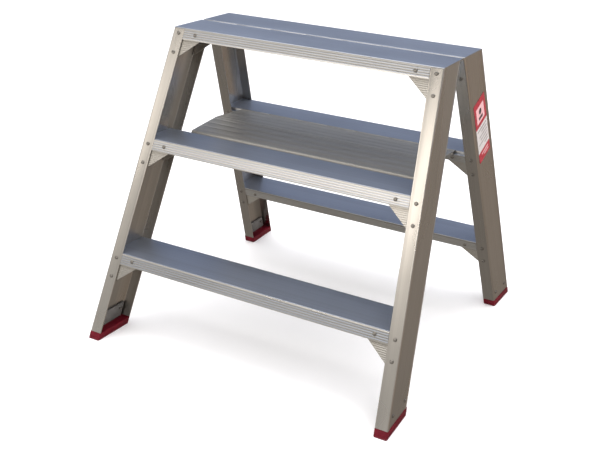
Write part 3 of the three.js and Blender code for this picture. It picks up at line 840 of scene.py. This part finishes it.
def stile_room(sizes, side, tread):
    """What a stile's walls and everything outside them take up, in the level axes."""
    w, t = sizes.stile_width + sizes.gap, sizes.stile_wall + sizes.gap
    d, out, recess = STILE_DEPTH, TOP_WIDTH, sizes.web_recess
    outline = [(-out, -out), (w, -out), (w, t), (t + recess, t), (t + recess, d - t),
               (w, d - t), (w, d + out), (-out, d + out)]
    bm = solid([(u, v, 0) for u, v in outline], UP_Z, -STILE_LENGTH, 2 * STILE_LENGTH)
    bmesh.ops.transform(bm, matrix=frame_matrix() @ stile_matrix(side), verts=bm.verts)
    if tread == "top":
        cut(bm, (0, 0, STILE_HIGH.z + sizes.gap), (0, 0, 1))
    return bm


class LADDER_OT_treads(bpy.types.Operator):
    """Builds the six extruded treads, their ends trimmed to the stiles"""

    bl_idname = "ladder.treads"
    bl_label = "Treads"

    def execute(self, context):
        sizes = context.scene.ladder_sizes
        finishes = context.scene.ladder_finishes
        # The second, bluer copy goes on the tops: a painted reflection of the cool sky, not a
        # different metal.
        metal = [extruded_aluminium("tread apron mill-finish aluminium", finishes.tread, 0.3),
                 extruded_aluminium("tread top mill-finish aluminium", finishes.tread_top_painted_sky, 0.4,
                                    metallic=0.9)]
        for end in ENDS:
            for name in TREAD_HEIGHTS:
                reach = TOP_WIDTH / 2 if name == "top" else TOP_WIDTH
                bm = solid(tread_outline(sizes, name), ALONG_X, -reach, 2 * reach)
                rooms = [stile_room(sizes, side, name) for side in SIDES]
                bm = combined(bm, rooms, "DIFFERENCE")
                finish_piece(bm, f"tread_{end}_{name}", level_matrix(end),
                             [f"{end}_{name}_tread"], metal,
                             tops_get_painted_sky=True)
        return {"FINISHED"}


def gusset_depth(sizes):
    """How far a gusset's face lies behind its frame's face."""
    return max(sizes.stile_wall, sizes.apron_wall) + sizes.gap


def gusset_solid(sizes, side, tread, face):
    """A corner plate in its frame's axes, cut from ribbed strip: its long edge runs from the
    apron's lower edge to the flange's inner edge, and on behind both."""
    top = edge_z(tread, face)
    corner = top - APRON_DROP / math.cos(LEAN)
    fall = sizes.gusset_down / sizes.gusset_across
    lap = sizes.stile_width - sizes.stile_wall - sizes.web_recess - sizes.gusset_side_gap
    reach = lap / math.cos(FLARE)
    depth, thickness = gusset_depth(sizes), sizes.gusset_thickness
    roof = sizes.tread_plate + sizes.gap
    if tread == "middle" and face == "inner":
        roof += sizes.shelf_drop
    slope = depth * math.tan(LEAN) if face == "outer" else -(depth + thickness) * math.tan(LEAN)
    high = min(corner + sizes.gusset_rise, top - roof / math.cos(LEAN) + slope)
    low = corner - (sizes.gusset_across + reach) * fall
    edge_inset = sizes.stile_width - lap
    tip = stile_x(corner, sizes.stile_width) - sizes.gusset_across
    tip -= (high - corner) * (1 / fall + math.tan(FLARE))

    ribs = (sizes.rib_pitch, sizes.rib_groove, sizes.rib_depth)
    inset = depth if face == "outer" else STILE_DEPTH - depth
    sign = 1 if face == "outer" else -1
    shown = [(inset, high), (inset, low)] if sign > 0 else [(inset, low), (inset, high)]
    hidden = [(inset + sign * thickness, z) for _, z in reversed(shown)]
    outline = [(*shown[0], 0), *grooved(*shown, *ribs, (CUT_MARGIN, CUT_MARGIN)), (*shown[1], 0),
               (*hidden[0], 0), (*hidden[1], 0)]
    bm = solid(outline, ALONG_X, 0, 2 * TOP_WIDTH)
    bmesh.ops.transform(bm, matrix=Matrix.Scale(side, 4, (1, 0, 0)), verts=bm.verts)
    outer_high, outer_low = stile_x(high, edge_inset), stile_x(low, edge_inset)
    along = Vector((outer_low - outer_high, 0, low - high))
    cut(bm, (side * outer_high, 0, high), (-side * along.z, 0, along.x))
    long_edge = Vector((outer_low - tip, 0, low - high))
    cut(bm, (side * tip, 0, high), (side * long_edge.z, 0, -long_edge.x))
    return bm


class LADDER_OT_gussets(bpy.types.Operator):
    """Builds the ribbed corner plates behind the flanges and aprons, and their rivets"""

    bl_idname = "ladder.gussets"
    bl_label = "Gussets and rivets"

    def execute(self, context):
        sizes = context.scene.ladder_sizes
        finishes = context.scene.ladder_finishes
        plate = extruded_aluminium("gusset ribbed aluminium", finishes.gusset, 0.33)
        rivet = upset_rivet("rivet upset aluminium", finishes.rivet)
        grip = gusset_depth(sizes) + sizes.gusset_thickness
        for end in ENDS:
            leaned = level_matrix(end) @ frame_matrix()
            for side in SIDES:
                for tread in TREAD_HEIGHTS:
                    for face in FACES:
                        name = f"{end}_{hand(end, side)}_{tread}_{face}"
                        nodes = [f"{name}_gusset"]
                        finish_piece(gusset_solid(sizes, side, tread, face), f"gusset_{name}",
                                     leaned, nodes, [plate])
                        places = [face_matrix(face, x, z)
                                  for x, z in corner_rivets(sizes, side, tread, face)]
                        rivets = gathered([rivet_solid(sizes, grip, place) for place in places])
                        finish_piece(rivets, f"rivets_{name}", leaned, nodes,
                                     [rivet])
        return {"FINISHED"}


BAND_SHARE = 0.3        # height of the groove round a sole, as a share of the sole's
BAND_SLOPE = 0.2        # slope of that groove's sides, as a share of its width
FLAT_END = 0.99         # least upward part of the normal of a sole's top or bottom
SIDE_FACE = 0.9         # most upward part of the normal of a sole's side


def foot_solid(sizes, side):
    """A moulded foot in its stile's axes: a grooved sole and a tongue up inside the web."""
    p, w, d = sizes.foot_proud, sizes.stile_width, STILE_DEPTH
    sole_top = STILE_LOW.z - sizes.gap
    sole = solid(rectangle(-p, -p, w + p, d + p, sizes.foot_corner), UP_Z,
                 -STILE_LENGTH, 2 * STILE_LENGTH)
    level_planes(sole, side, 0.0, sole_top)
    to_level, up = level_axes(side)
    rims = [e for e in sole.edges if any(abs(f.normal.dot(up)) > FLAT_END for f in e.link_faces)]
    bmesh.ops.bevel(sole, geom=rims, offset=sizes.edge_radius, offset_type="OFFSET",
                    affect="EDGES", segments=2, profile=0.5, material=-1)
    low = sole_top * BAND_SHARE
    high = low + sizes.sole_groove
    for height in (low, high):
        score(sole, to_level.inverted() @ Vector((0, 0, height)), up)
    band = [face for face in sole.faces
            if low < (to_level @ face.calc_center_median()).z < high
            and abs(face.normal.dot(up)) < SIDE_FACE]
    bmesh.ops.inset_region(sole, faces=band, thickness=sizes.sole_groove * BAND_SLOPE,
                           depth=-sizes.sole_groove / 2, use_even_offset=True)
    inside = sizes.stile_wall + sizes.web_recess + sizes.gap
    margin = sizes.stile_wall + sizes.tongue_inset
    tongue = solid(rectangle(inside, margin, inside + sizes.tongue_thickness, d - margin,
                             sizes.edge_radius), UP_Z, -STILE_LENGTH, 2 * STILE_LENGTH)
    level_planes(tongue, side, sole_top / 2, sole_top + sizes.tongue_rise)
    foot = combined(sole, [tongue], "UNION")
    grooves = []
    count = int(d / sizes.sole_pitch)
    for i in range(1, count):
        v = d * i / count
        groove = solid(rectangle(v - sizes.sole_groove / 2, -sizes.sole_groove,
                                 v + sizes.sole_groove / 2, sizes.sole_groove), UP_Z,
                       -w, 3 * w)
        own = Matrix(((0, 0, 1, 0), (1, 0, 0, 0), (0, 1, 0, slope_z(0, v) / math.cos(FLARE)),
                      (0, 0, 0, 1)))
        bmesh.ops.transform(groove, matrix=own, verts=groove.verts)
        grooves.append(groove)
    foot = combined(foot, [gathered(grooves)], "DIFFERENCE")
    for face in foot.faces:
        above_sole = (to_level @ face.calc_center_median()).z > sole_top + sizes.gap
        face.material_index = 1 if above_sole else 0
    return foot


class LADDER_OT_feet(bpy.types.Operator):
    """Builds the moulded feet and the rivets that hold them"""

    bl_idname = "ladder.feet"
    bl_label = "Feet"

    def execute(self, context):
        sizes = context.scene.ladder_sizes
        finishes = context.scene.ladder_finishes
        plastic = [moulded_plastic("foot moulded polypropylene", finishes.foot),
                   moulded_plastic("foot tongue moulded polypropylene", finishes.tongue)]
        rivet = upset_rivet("foot rivet upset aluminium", finishes.rivet)
        grip = sizes.stile_wall + sizes.gap + sizes.tongue_thickness
        for end in ENDS:
            leaned = level_matrix(end) @ frame_matrix()
            for side in SIDES:
                name = f"{end}_{hand(end, side)}_foot"
                finish_piece(foot_solid(sizes, side), f"foot_{end}_{hand(end, side)}",
                             leaned @ stile_matrix(side), [name], plastic,
                             along="Z")
                for number, place in enumerate(foot_rivet_matrices(sizes, side), 1):
                    finish_piece(rivet_solid(sizes, grip, place),
                                 f"foot_rivet_{end}_{hand(end, side)}_{number}", leaned,
                                 [f"{name}_rivet_{number}"], [rivet])
        return {"FINISHED"}


# ------------------------------------------------------------------ hinges and platform
def with_knuckles(bm, sizes, axis, length, which):
    """Adds one leaf's knuckles to a solid, clears room for the other leaf's and bores them."""
    pitch = length / sizes.knuckle_count
    half = sizes.knuckle_gap / 2
    own, other = [], []
    for i in range(sizes.knuckle_count):
        x0, x1 = -length / 2 + i * pitch, -length / 2 + (i + 1) * pitch
        if i % 2 == which:
            own.append(bar(sizes.barrel_radius, axis.y, axis.z, x0 + half, x1 - half, half))
        else:
            other.append(bar(sizes.barrel_radius + 2 * half, axis.y, axis.z, x0 - half, x1 + half))
    other.append(bar(sizes.bore_radius, axis.y, axis.z, -length, length))
    return combined(combined(bm, own, "UNION"), other, "DIFFERENCE")


def top_hinge_leaf(sizes, which):
    """One leaf of the top hinge: a strip down the inner apron, a web to the seam, knuckles."""
    clear = sizes.gap / math.cos(LEAN)
    wall = sizes.hinge_strip / math.cos(LEAN)
    web_top = STILE_HIGH.z
    web_low = web_top - sizes.hinge_strip
    low = HEIGHT - sizes.strip_drop
    web = [(inner_y(web_top) + clear, web_top), (inner_y(web_top) + clear, web_low),
           (TOP_HINGE.y, web_low), (TOP_HINGE.y, web_top)]
    strip = [(inner_y(web_top) + clear, web_top), (inner_y(low) + clear, low),
             (inner_y(low) + clear + wall, low), (inner_y(web_top) + clear + wall, web_top)]
    apron_rivet = sizes.stile_width + sizes.apron_rivet_edge
    reach = stile_x(edge_z("top", "inner"), apron_rivet) - sizes.rivet_head - sizes.strip_margin
    bm = solid([(y, z, 0) for y, z in web], ALONG_X, -TOP_HINGE_LENGTH / 2, TOP_HINGE_LENGTH)
    bm = combined(bm, [solid([(y, z, 0) for y, z in strip], ALONG_X, -reach, 2 * reach)], "UNION")
    return with_knuckles(bm, sizes, TOP_HINGE, TOP_HINGE_LENGTH, which)


class LADDER_OT_top_hinge(bpy.types.Operator):
    """Builds the hinge along the seam between the two top treads"""

    bl_idname = "ladder.top_hinge"
    bl_label = "Top hinge"

    def execute(self, context):
        sizes = context.scene.ladder_sizes
        finishes = context.scene.ladder_finishes
        metal = extruded_aluminium("hinge mill-finish aluminium", finishes.hinge, 0.36)
        steel = drawn_steel("pin drawn steel", finishes.pin)
        for which, end in enumerate(ENDS):
            finish_piece(top_hinge_leaf(sizes, which), f"hinge_leaf_{end}_top", level_matrix(end),
                         [f"{end}_top_hinge_leaf"], [metal])
        half = TOP_HINGE_LENGTH / 2
        pin = bar(sizes.pin_radius, TOP_HINGE.y, TOP_HINGE.z, -half, half, sizes.knuckle_gap)
        finish_piece(pin, "pin_top_hinge", UP_Z, ["top_hinge_pin"], [steel])
        return {"FINISHED"}


def rear_leaf(sizes):
    """The rear platform leaf, from the rear hinge to the platform's centre."""
    pivot = PLATFORM_HINGE
    crown = PLATFORM_TOP - TREAD_HEIGHTS["middle"]
    fall = crown / pivot.y
    gap, wall, plate = sizes.knuckle_gap, sizes.leaf_wall, sizes.leaf_plate
    inner = pivot.y - (sizes.shelf_width - sizes.barrel_radius + sizes.skirt_clearance)
    small = sizes.edge_radius

    def top(y):
        return PLATFORM_TOP - y * fall

    def at(y, drop, radius=0.0):
        return (y, top(y) - drop, radius)

    points = [at(pivot.y, 0)]
    points += grooved(at(pivot.y, 0)[:2], (gap, top(0)), sizes.leaf_pitch, sizes.leaf_groove,
                      sizes.leaf_groove_depth, (CUT_MARGIN, CUT_MARGIN))
    points += [(gap, top(0), sizes.leaf_seam), (gap, CENTRE_HINGE.z, 0), (wall, CENTRE_HINGE.z, 0),
               at(wall, plate), at(inner - wall, plate), at(inner - wall, sizes.leaf_edge, small),
               at(inner, sizes.leaf_edge, small), at(inner, plate), at(pivot.y, plate)]
    bm = solid(points, ALONG_X, -PLATFORM_WIDTH / 2, PLATFORM_WIDTH)
    bm = with_knuckles(bm, sizes, pivot, PLATFORM_WIDTH, 1)
    return with_knuckles(bm, sizes, CENTRE_HINGE, PLATFORM_WIDTH, 0)


def front_leaf(sizes):
    """The front platform leaf, from the centre to the lip on the front tread's shelf."""
    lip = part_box("front_platform_leaf")[0].y
    edge = lip + sizes.leaf_tongue
    middle = TREAD_HEIGHTS["middle"]
    fall = (PLATFORM_TOP - middle) / -edge
    low = middle - sizes.shelf_drop + sizes.gap
    gap, wall, plate = sizes.knuckle_gap, sizes.leaf_wall, sizes.leaf_plate
    small = sizes.edge_radius

    def top(y):
        return PLATFORM_TOP + y * fall

    points = [(-gap, CENTRE_HINGE.z, 0), (-gap, top(0), sizes.leaf_seam)]
    points += grooved((-gap, top(0)), (edge, middle), sizes.leaf_pitch, sizes.leaf_groove,
                      sizes.leaf_groove_depth, (CUT_MARGIN, CUT_MARGIN))
    points += [(edge, middle, sizes.leaf_nose), (edge, low + sizes.lip_thickness, 0),
               (lip, low + sizes.lip_thickness, small), (lip, low, small), (edge + wall, low, 0),
               (edge + wall, top(edge + wall) - plate, 0), (-wall, top(-wall) - plate, 0),
               (-wall, CENTRE_HINGE.z, 0)]
    bm = solid(points, ALONG_X, -PLATFORM_WIDTH / 2, PLATFORM_WIDTH)
    return with_knuckles(bm, sizes, CENTRE_HINGE, PLATFORM_WIDTH, 1)


PLATE_SETBACK = 0.001   # from the plate's edge to the step above the shelf


def hinge_plate(sizes):
    """The plate on the rear middle tread's shelf that carries the platform."""
    edge = -inner_y(TREAD_HEIGHTS["middle"])
    low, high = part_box("platform_hinge_plate")[0].y, edge + sizes.shelf_width - PLATE_SETBACK
    shelf = TREAD_HEIGHTS["middle"] - sizes.shelf_drop + sizes.gap
    top = shelf + sizes.hinge_strip
    half_web = sizes.pivot_web / 2
    plate = solid(rectangle(low, shelf, high, top, sizes.edge_radius / 2), ALONG_X,
                  -PLATFORM_WIDTH / 2, PLATFORM_WIDTH)
    web = solid(rectangle(PLATFORM_HINGE.y - half_web, (shelf + top) / 2,
                          PLATFORM_HINGE.y + half_web, PLATFORM_HINGE.z), ALONG_X,
                -PLATFORM_WIDTH / 2, PLATFORM_WIDTH)
    return with_knuckles(combined(plate, [web], "UNION"), sizes, PLATFORM_HINGE, PLATFORM_WIDTH, 0)


class LADDER_OT_platform(bpy.types.Operator):
    """Builds the two platform leaves, the plate that carries them and their hinge pins"""

    bl_idname = "ladder.platform"
    bl_label = "Platform"

    def execute(self, context):
        sizes = context.scene.ladder_sizes
        finishes = context.scene.ladder_finishes
        metal = extruded_aluminium("platform dull aluminium", finishes.platform, 0.42, metallic=0.8)
        strip = extruded_aluminium("platform hinge aluminium", finishes.hinge, 0.38)
        steel = drawn_steel("platform pin drawn steel", finishes.pin)
        finish_piece(rear_leaf(sizes), "platform_leaf_rear", UP_Z, ["rear_platform_leaf"],
                     [metal])
        finish_piece(front_leaf(sizes), "platform_leaf_front", UP_Z, ["front_platform_leaf"],
                     [metal])
        finish_piece(hinge_plate(sizes), "platform_hinge_strip", UP_Z, ["platform_hinge_plate"],
                     [strip])
        half = PLATFORM_WIDTH / 2
        for name, axis in (("platform_hinge_pin", PLATFORM_HINGE),
                           ("platform_centre_pin", CENTRE_HINGE)):
            pin = bar(sizes.pin_radius, axis.y, axis.z, -half, half, sizes.knuckle_gap)
            finish_piece(pin, f"{name}_rod", UP_Z, [name], [steel])
        return {"FINISHED"}


# ------------------------------------------------------------------ label
# Millimetres, on the label.
SHEET_CORNER, PRINT_CORNER = 3, 0.8
FOOT_BLOCK = 32                             # height of the red block at the foot
FOOT_BARS = ((19, 23, 0.5), (10, 14, 0.1))  # low and high edge, and right end as a share
DOT_RADIUS, DOT_RISE = 9, 6                 # the sign's dot, above the sign's middle
SIGN_BAR = (14, -17, -8, 2)                 # half its width, low and high edge, and corner
ROW_TOP, ROW_PITCH, ROW_HEIGHT = 9, 11, 3.5
ROW_SHARES = (0.9, 0.55, 0.8, 0.7, 0.9, 0.35)   # lengths of the blank rows
SHEET_SHARE, LAYER_SHARE = 0.4, 0.2         # of the film's thickness: the sheet, each layer


class LADDER_OT_label(bpy.types.Operator):
    """Builds the printed label on the rear right stile, with a plain sign and blank bars"""

    bl_idname = "ladder.label"
    bl_label = "Label"

    def execute(self, context):
        sizes = context.scene.ladder_sizes
        finishes = context.scene.ladder_finishes
        place = level_matrix("rear") @ frame_matrix() @ stile_matrix(-1)
        low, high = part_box("label")
        middle = place.inverted() @ ((low + high) / 2)
        half = STILE_DEPTH / 2 - sizes.web_edge - sizes.web_slope - sizes.label_margin
        top = sizes.label_length / 2
        film = sizes.label_film
        inside = middle.x + film / 2
        square, block = 2 * half, FOOT_BLOCK * MM
        outwards = Matrix.Scale(-1, 4, (1, 0, 0))
        seat = Matrix.Translation((inside, middle.y, middle.z)) @ outwards

        def patch(v0, z0, v1, z1, layer, corner=PRINT_CORNER):
            """A patch of film, layer 0 being the sheet and higher ones lying further out."""
            bm = solid(rectangle(v0, z0, v1, z1, corner * MM), ALONG_X, 0.0,
                       film * (SHEET_SHARE + LAYER_SHARE * layer))
            bmesh.ops.transform(bm, matrix=seat, verts=bm.verts)
            return bm

        sheet = [patch(-half, -top, half, top, 0, SHEET_CORNER)]
        red = [patch(-half, top - square, half, top, 1, SHEET_CORNER),
               patch(-half, -top, half, -top + block, 1, SHEET_CORNER)]
        sign = top - square * 0.55
        tint = [patch(-half * 0.68, sign - half * 0.6, half * 0.68, sign + half * 0.6, 2)]
        for low_edge, high_edge, share in FOOT_BARS:
            tint.append(patch(-half * 0.7, -top + low_edge * MM, half * share,
                              -top + high_edge * MM, 2))
        dot, rise = DOT_RADIUS * MM, sign + DOT_RISE * MM
        reach, bar_low, bar_high, bar_corner = SIGN_BAR
        ink = [patch(-dot, rise - dot, dot, rise + dot, 3, DOT_RADIUS * 0.999),
               patch(-reach * MM, sign + bar_low * MM, reach * MM, sign + bar_high * MM, 3,
                     bar_corner)]
        grey = []
        for row, share in enumerate(ROW_SHARES):
            row_top = top - square - (ROW_TOP + row * ROW_PITCH) * MM
            grey.append(patch(-half * 0.8, row_top - ROW_HEIGHT * MM,
                              -half * 0.8 + half * 1.75 * share, row_top, 1))
        # The sheet's ground is the white film greyed: painted shade.
        for name, parts, shade in (("sheet", sheet, finishes.film_paper_painted_shade),
                                   ("red", red, finishes.film_red),
                                   ("tint", tint, finishes.film_pink),
                                   ("grey", grey, finishes.film_grey),
                                   ("ink", ink, finishes.film_ink)):
            finish_piece(gathered(parts), f"label_{name}", place, ["label"],
                         [printed_film(f"label {name} printed film", shade)], along="Z")
        return {"FINISHED"}


# ------------------------------------------------------------------ stage
# Softboxes, which all face the ladder: a name, a width, a height, a place and a colour.
SOFTBOXES = (
    ("key", 2.0, 0.62, (-1.1, -4.1, 2.25), "#fff6ea"),
    ("fill", 2.6, 0.8, (-3.4, -3.7, 2.3), "#fff6ea"),
    ("rim", 0.8, 1.6, (3.2, 1.6, 1.5), "#fbf6f0"),
    ("back", 1.8, 0.7, (1.3, 4.0, 2.4), "#fdfaf5"),
    ("top", 4.2, 1.9, (0.0, -0.05, 3.2), "#fdfbf8"),
)
OVERHEAD_SPREAD = math.radians(170)     # nearly a whole dome, so that shadows have no edges
OVERHEAD_COLOUR = "#f6f7ff"
# Where the sky changes, from -1 to 1 along an axis of the direction that is looked in.
SKY_TURN = 0.45                                 # along Y, from the front sky to the back one
GROUND_PLACES = (0.12, 0.27, 0.42, 0.56, 0.7)   # along X, through the ground's colours
NADIR_PLACES = (-0.6, -0.15)                    # along Z, from straight below to the ground
HORIZON_PLACES = (-0.1, 0.12)                   # along Z, from the ground to the sky


class LADDER_OT_stage(bpy.types.Operator):
    """Sets the camera, the pale floor and the soft studio light"""

    bl_idname = "ladder.stage"
    bl_label = "Stage"

    def execute(self, context):
        scene, stage = context.scene, context.scene.ladder_stage
        scene.view_settings.view_transform = "Standard"
        self.add_camera(scene, stage)
        self.add_floor(scene, stage)
        self.add_sky(scene, stage)
        for name, width, depth, place, shade in SOFTBOXES:
            light = bpy.data.lights.new(f"{name} softbox", "AREA")
            light.energy = getattr(stage, name)
            light.shape = "RECTANGLE"
            light.size, light.size_y = width, depth
            light.color = linear(shade)
            lamp = bpy.data.objects.new(f"{name} softbox", light)
            lamp.location = place
            towards = Vector((0, 0, HEIGHT / 2)) - lamp.location
            lamp.rotation_mode = "QUATERNION"
            lamp.rotation_quaternion = towards.to_track_quat("-Z", "Y")
            scene.collection.objects.link(lamp)
        sun = bpy.data.lights.new("overhead", "SUN")
        sun.energy, sun.angle = stage.overhead, OVERHEAD_SPREAD
        sun.color = linear(OVERHEAD_COLOUR)
        overhead = bpy.data.objects.new("overhead", sun)
        overhead.visible_glossy = False
        scene.collection.objects.link(overhead)
        return {"FINISHED"}

    def add_camera(self, scene, stage):
        """A camera that looks at its target from an azimuth and an elevation, with a roll."""
        back = Vector((math.sin(stage.azimuth) * math.cos(stage.elevation),
                       -math.cos(stage.azimuth) * math.cos(stage.elevation),
                       math.sin(stage.elevation)))
        camera = bpy.data.objects.new("camera", bpy.data.cameras.new("camera"))
        camera.data.lens, camera.data.sensor_width = stage.lens, stage.sensor
        camera.location = Vector((stage.target_x, 0, stage.target_z)) + back * stage.distance
        camera.rotation_mode = "QUATERNION"
        turn = (-back).to_track_quat("-Z", "Y").to_matrix() @ Matrix.Rotation(stage.roll, 3, "Z")
        camera.rotation_quaternion = turn.to_quaternion()
        scene.collection.objects.link(camera)
        scene.camera = camera

    def add_floor(self, scene, stage):
        """A matt floor that curves up into a round wall. Neither is mirrored in the metal."""
        bm = bmesh.new()
        bend, flat, top = stage.bend, stage.floor_radius, stage.wall_height
        profile = [(0.0, 0.0), (flat, 0.0)]
        for step in range(1, BEND_STEPS + 1):
            turn = math.pi / 2 * step / BEND_STEPS
            profile.append((flat + bend * math.sin(turn), bend * (1 - math.cos(turn))))
        profile.append((flat + bend, top))
        line = [bm.verts.new((radius, 0.0, z)) for radius, z in profile]
        edges = [bm.edges.new(pair) for pair in zip(line, line[1:])]
        bmesh.ops.spin(bm, geom=line + edges, cent=(0, 0, 0), axis=(0, 0, 1), angle=2 * math.pi,
                       steps=WALL_STEPS, use_merge=True, use_duplicate=False)
        bmesh.ops.remove_doubles(bm, verts=bm.verts, dist=MERGE)
        for face in bm.faces:
            face.smooth = True
            inwards = Vector((0, 0, 1)) - face.calc_center_median() / (flat + bend)
            if face.normal.dot(inwards) < 0:
                face.normal_flip()
        mesh = bpy.data.meshes.new("floor")
        bm.to_mesh(mesh)
        bm.free()
        material, _, shader = blank_material("pale matt floor")
        shader.inputs["Base Color"].default_value = (*stage.floor, 1.0)
        shader.inputs["Roughness"].default_value = 0.9
        shader.inputs["Emission Color"].default_value = (*stage.floor, 1.0)
        shader.inputs["Emission Strength"].default_value = stage.glow
        mesh.materials.append(material)
        floor = bpy.data.objects.new("floor", mesh)
        floor.visible_glossy = False
        scene.collection.objects.link(floor)

    def add_sky(self, scene, stage):
        """A sky that is warm in front and cool behind, over a ground that darkens downwards."""
        world = bpy.data.worlds.new("studio")
        world.use_nodes = True
        tree = world.node_tree
        direction = add_node(tree, "TexCoord", {}, {}).outputs["Generated"]
        split = add_node(tree, "SeparateXYZ", {}, {"Vector": direction})
        ground_colours = (stage.ground_left, stage.ground_middle, stage.ground_right,
                          stage.ground_middle, stage.ground_right)
        ramps = []
        for axis, places, shades in (
            ("Y", (-SKY_TURN, SKY_TURN), (stage.sky_front, stage.sky_back)),
            ("X", GROUND_PLACES, ground_colours),
            ("Z", NADIR_PLACES, (BLACK, WHITE)),
            ("Z", HORIZON_PLACES, (BLACK, WHITE)),
        ):
            along = add_node(tree, "MapRange", {"From Min": -1.0}, {"Value": split.outputs[axis]})
            stops = [((place + 1) / 2, shade) for place, shade in zip(places, shades)]
            ramps.append(add_node(tree, "ValToRGB", {}, {"Fac": along}, stops))
        sky, ground, above_nadir, above_horizon = ramps
        below = add_node(tree, "Mix", {"data_type": "RGBA", "A": (*stage.nadir, 1.0)},
                         {"Factor": above_nadir, "B": ground})
        whole = add_node(tree, "Mix", {"data_type": "RGBA"},
                         {"Factor": above_horizon, "A": below, "B": sky})
        background = tree.nodes["Background"]
        background.inputs["Strength"].default_value = stage.ambient
        link_shader(tree, background, Color=whole)
        scene.world = world


class LADDER_PT_panel(bpy.types.Panel):
    """Lists the operators of the ladder in the order in which they run"""

    bl_idname = "LADDER_PT_panel"
    bl_label = "Folding step ladder"
    bl_space_type = "VIEW_3D"
    bl_region_type = "UI"
    bl_category = "Ladder"

    def draw(self, context):
        for operator in OPERATORS:
            self.layout.operator(operator.bl_idname)


OPERATORS = (LADDER_OT_stage, LADDER_OT_stiles, LADDER_OT_treads, LADDER_OT_gussets,
             LADDER_OT_feet, LADDER_OT_top_hinge, LADDER_OT_platform, LADDER_OT_label)
GROUPS = {"ladder_sizes": LADDER_PG_sizes, "ladder_finishes": LADDER_PG_finishes,
          "ladder_stage": LADDER_PG_stage}


def register():
    """Registers the settings, the operators and the panel."""
    for name, group in GROUPS.items():
        bpy.utils.register_class(group)
        setattr(bpy.types.Scene, name, PointerProperty(type=group))
    for made in (*OPERATORS, LADDER_PT_panel):
        bpy.utils.register_class(made)


def unregister():
    """Removes what register added."""
    for made in (LADDER_PT_panel, *reversed(OPERATORS)):
        bpy.utils.unregister_class(made)
    for name, group in GROUPS.items():
        delattr(bpy.types.Scene, name)
        bpy.utils.unregister_class(group)


def main():
    """Builds everything."""
    register()
    for operator in OPERATORS:
        group, name = operator.bl_idname.split(".")
        getattr(getattr(bpy.ops, group), name)()


if __name__ == "__main__":
    main()
